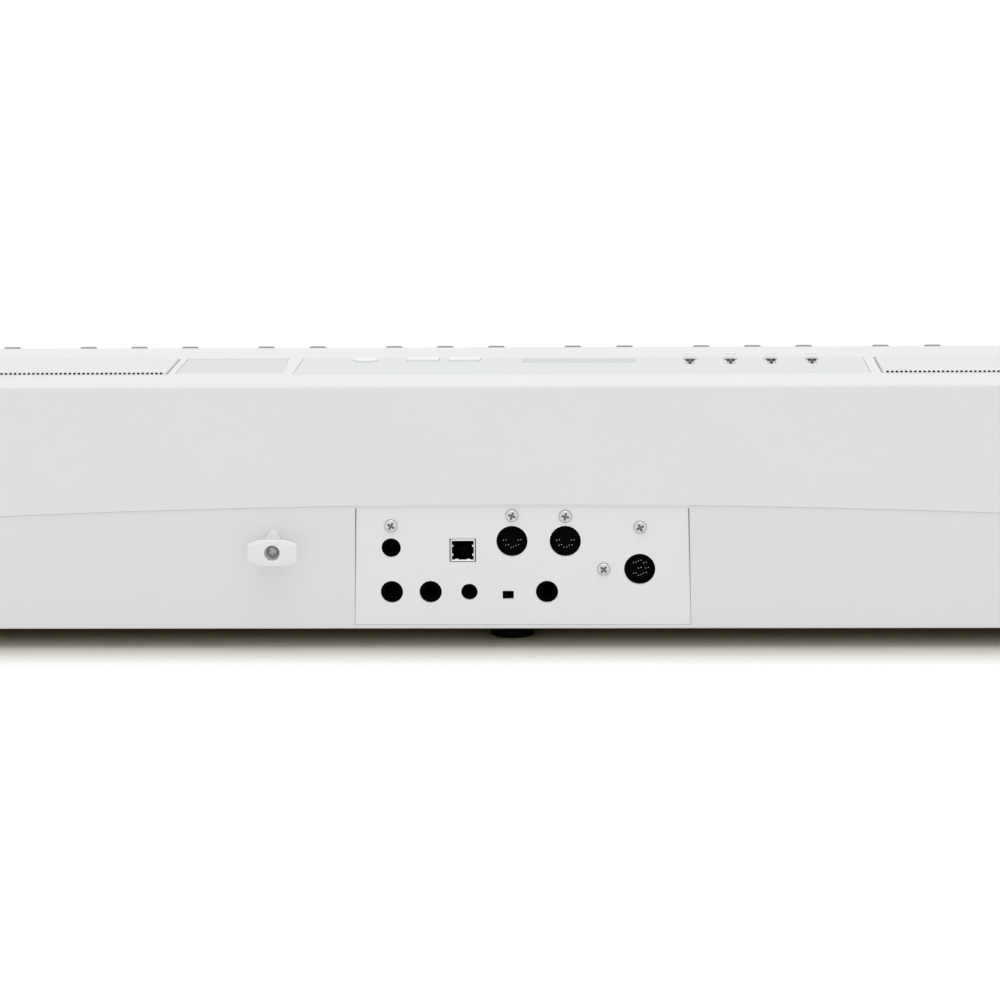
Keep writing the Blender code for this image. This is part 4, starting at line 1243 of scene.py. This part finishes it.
    def dress(self) -> None:
        """Replaces each packed set with finer keys on the same body."""
        first_c = -24 * self.pitch
        for name, octave, notes in self.sets():
            start = first_c + (octave - 1) * 7 * self.pitch
            keys = []
            for note in notes:
                if "#" in note:
                    keys.append(self.black(note))
                else:
                    left = note not in ("c", "f") and name + note != "low_whitesa"
                    right = note not in ("e", "b") and name != "top_c"
                    keys.append(self.white(note, left, right))
            placed = [key.moved(start) for key in keys]
            surface = Surface.joined([*placed, self.rail(start, notes)])
            sharp = "#" in notes[0]
            finish, slot = (KEY_BLACK, "key_black") if sharp else (KEY_WHITE, "key_white")
            self.shop.install(surface, f"keys_{name}", finish, name, slot, (name,))


@dataclass
class Inside:
    """Boards, frame and felt inside the case."""

    shop: Workshop

    def dress(self) -> None:
        """Gives the inner nodes their finishes."""
        for node in ("main_board", "jack_board", "panel_board", "contact_board"):
            self.shop.dress(node, BOARD)
        self.shop.dress("contact_rubber", DOME_RUBBER)
        self.shop.dress("key_frame", FRAME_STEEL)
        self.shop.dress("key_felt", FELT)


@dataclass
class Studio:
    """Camera, lights and a pale floor."""

    eye: Colour = (-0.0636, 2.3716, 0.4680)
    focal: float = 4621.5
    sensor: float = 36.0
    pitch: float = 10.0067
    yaw: float = 1.9107
    roll: float = -0.4329
    sky: float = 0.74
    floor_colour: Colour = (0.90, 0.90, 0.89)
    # painted shadow: the floor's colours next to and deep under the instrument
    shadow_colour: Colour = (0.66, 0.635, 0.57)
    painted_deep_shadow_colour: Colour = (0.34, 0.25, 0.10)
    shadow_end: float = 0.0435

    def camera(self) -> None:
        """Puts the camera where the photograph was taken from."""
        data = bpy.data.cameras.new("camera")
        data.sensor_width = self.sensor
        data.lens = self.focal * self.sensor / 1000.0
        data.clip_end = 50
        camera = bpy.data.objects.new("camera", data)
        bpy.context.scene.collection.objects.link(camera)
        camera.matrix_world = (
            Matrix.Translation(self.eye)
            @ Matrix.Rotation(math.radians(180 + self.yaw), 4, "Z")
            @ Matrix.Rotation(math.radians(90 - self.pitch), 4, "X")
            @ Matrix.Rotation(math.radians(self.roll), 4, "Z")
        )
        bpy.context.scene.camera = camera

    def lamp(self, name: str, place: Colour, size: float, power: float) -> None:
        """Adds a square soft lamp that points at the instrument."""
        data = bpy.data.lights.new(name, "AREA")
        data.shape = "SQUARE"
        data.size = size
        data.energy = power
        lamp = bpy.data.objects.new(name, data)
        bpy.context.scene.collection.objects.link(lamp)
        lamp.location = place
        aim = -lamp.location
        lamp.rotation_euler = aim.to_track_quat("-Z", "Y").to_euler()

    def world(self) -> None:
        """Even pale light all round, and white where the camera or a gloss sees it."""
        world = bpy.data.worlds.new("studio")
        bpy.context.scene.world = world
        world.use_nodes = True
        nodes, links = world.node_tree.nodes, world.node_tree.links
        light = nodes["Background"]
        light.inputs[0].default_value = (1, 1, 1, 1)
        light.inputs[1].default_value = self.sky
        seen = nodes.new("ShaderNodeBackground")
        seen.inputs[0].default_value = (1, 1, 1, 1)
        seen.inputs[1].default_value = 1.0
        path = nodes.new("ShaderNodeLightPath")
        share = path.outputs["Is Camera Ray"]
        for ray in ("Is Transmission Ray", "Is Glossy Ray"):
            either = nodes.new("ShaderNodeMath")
            either.operation = "MAXIMUM"
            links.new(share, either.inputs[0])
            links.new(path.outputs[ray], either.inputs[1])
            share = either.outputs[0]
        mix = nodes.new("ShaderNodeMixShader")
        links.new(share, mix.inputs[0])
        links.new(light.outputs[0], mix.inputs[1])
        links.new(seen.outputs[0], mix.inputs[2])
        links.new(mix.outputs[0], nodes["World Output"].inputs[0])

    def floor(self) -> None:
        """A pale floor that keeps the shadow near the instrument and goes white further off.

        Seen by the camera or in a gloss, its colour is painted darker and browner
        towards and under the instrument: a painted shadow.
        """
        plan = rectangle((-6.0, 6.0), (-6.0, 6.0))
        floor = slab(plan, [(0.0, -0.02), (0.0, 0.0)], Plane.LEVEL).piece("floor")
        tree = Tree("floor_paper")
        tree.put(tree.shader, "Roughness", 0.9)
        tree.put(tree.shader, "Specular IOR Level", 0.1)
        glow = tree.add("ShaderNodeEmission", {}, {"Color": (1, 1, 1, 1), "Strength": 1.0})
        path = tree.add("ShaderNodeLightPath", {}, {})
        split = tree.add("ShaderNodeSeparateXYZ", {}, {"Vector": tree.place()})
        outside = (abs(tree.out(split, "X")) - 0.66).larger(abs(tree.out(split, "Y")) - REAR)
        seen = tree.out(path, "Is Camera Ray").larger(tree.out(path, "Is Glossy Ray"))
        share = seen * outside.eased(0.0, self.shadow_end)
        # painted shadow: seen by the camera, the floor's colour darkens and browns from the
        # footprint's edge to 55 mm under it
        under = tree.mix(outside.eased(-0.055, 0.0), self.painted_deep_shadow_colour, self.shadow_colour)
        tone = tree.add("ShaderNodeMix", {"data_type": "RGBA"}, {0: seen, 7: under})
        tone.inputs[6].default_value = (*self.floor_colour, 1)
        tree.put(tree.shader, "Base Color", tree.out(tone, 2))
        mix = tree.add("ShaderNodeMixShader", {}, {0: share})
        tree.links.new(tree.shader.outputs[0], mix.inputs[1])
        tree.links.new(glow.outputs[0], mix.inputs[2])
        tree.links.new(mix.outputs[0], tree.nodes["Material Output"].inputs[0])
        floor.data.materials.append(tree.material)

    def build(self) -> None:
        """Makes the whole studio."""
        bpy.context.scene.view_settings.view_transform = "Standard"
        self.camera()
        self.world()
        self.floor()
        self.lamp("key_lamp", (0.0, 0.75, 3.0), 2.2, 25.0)


def main() -> None:
    """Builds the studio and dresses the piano."""
    logging.basicConfig(level=logging.INFO, format="%(name)s: %(message)s")
    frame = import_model()
    shop = Workshop(frame)
    Studio().build()
    for assembly in (Case, SpeakerCovers, ControlStrip, RearPanel, Keyboard, Inside):
        assembly(shop).dress()


if __name__ == "__main__":
    main()
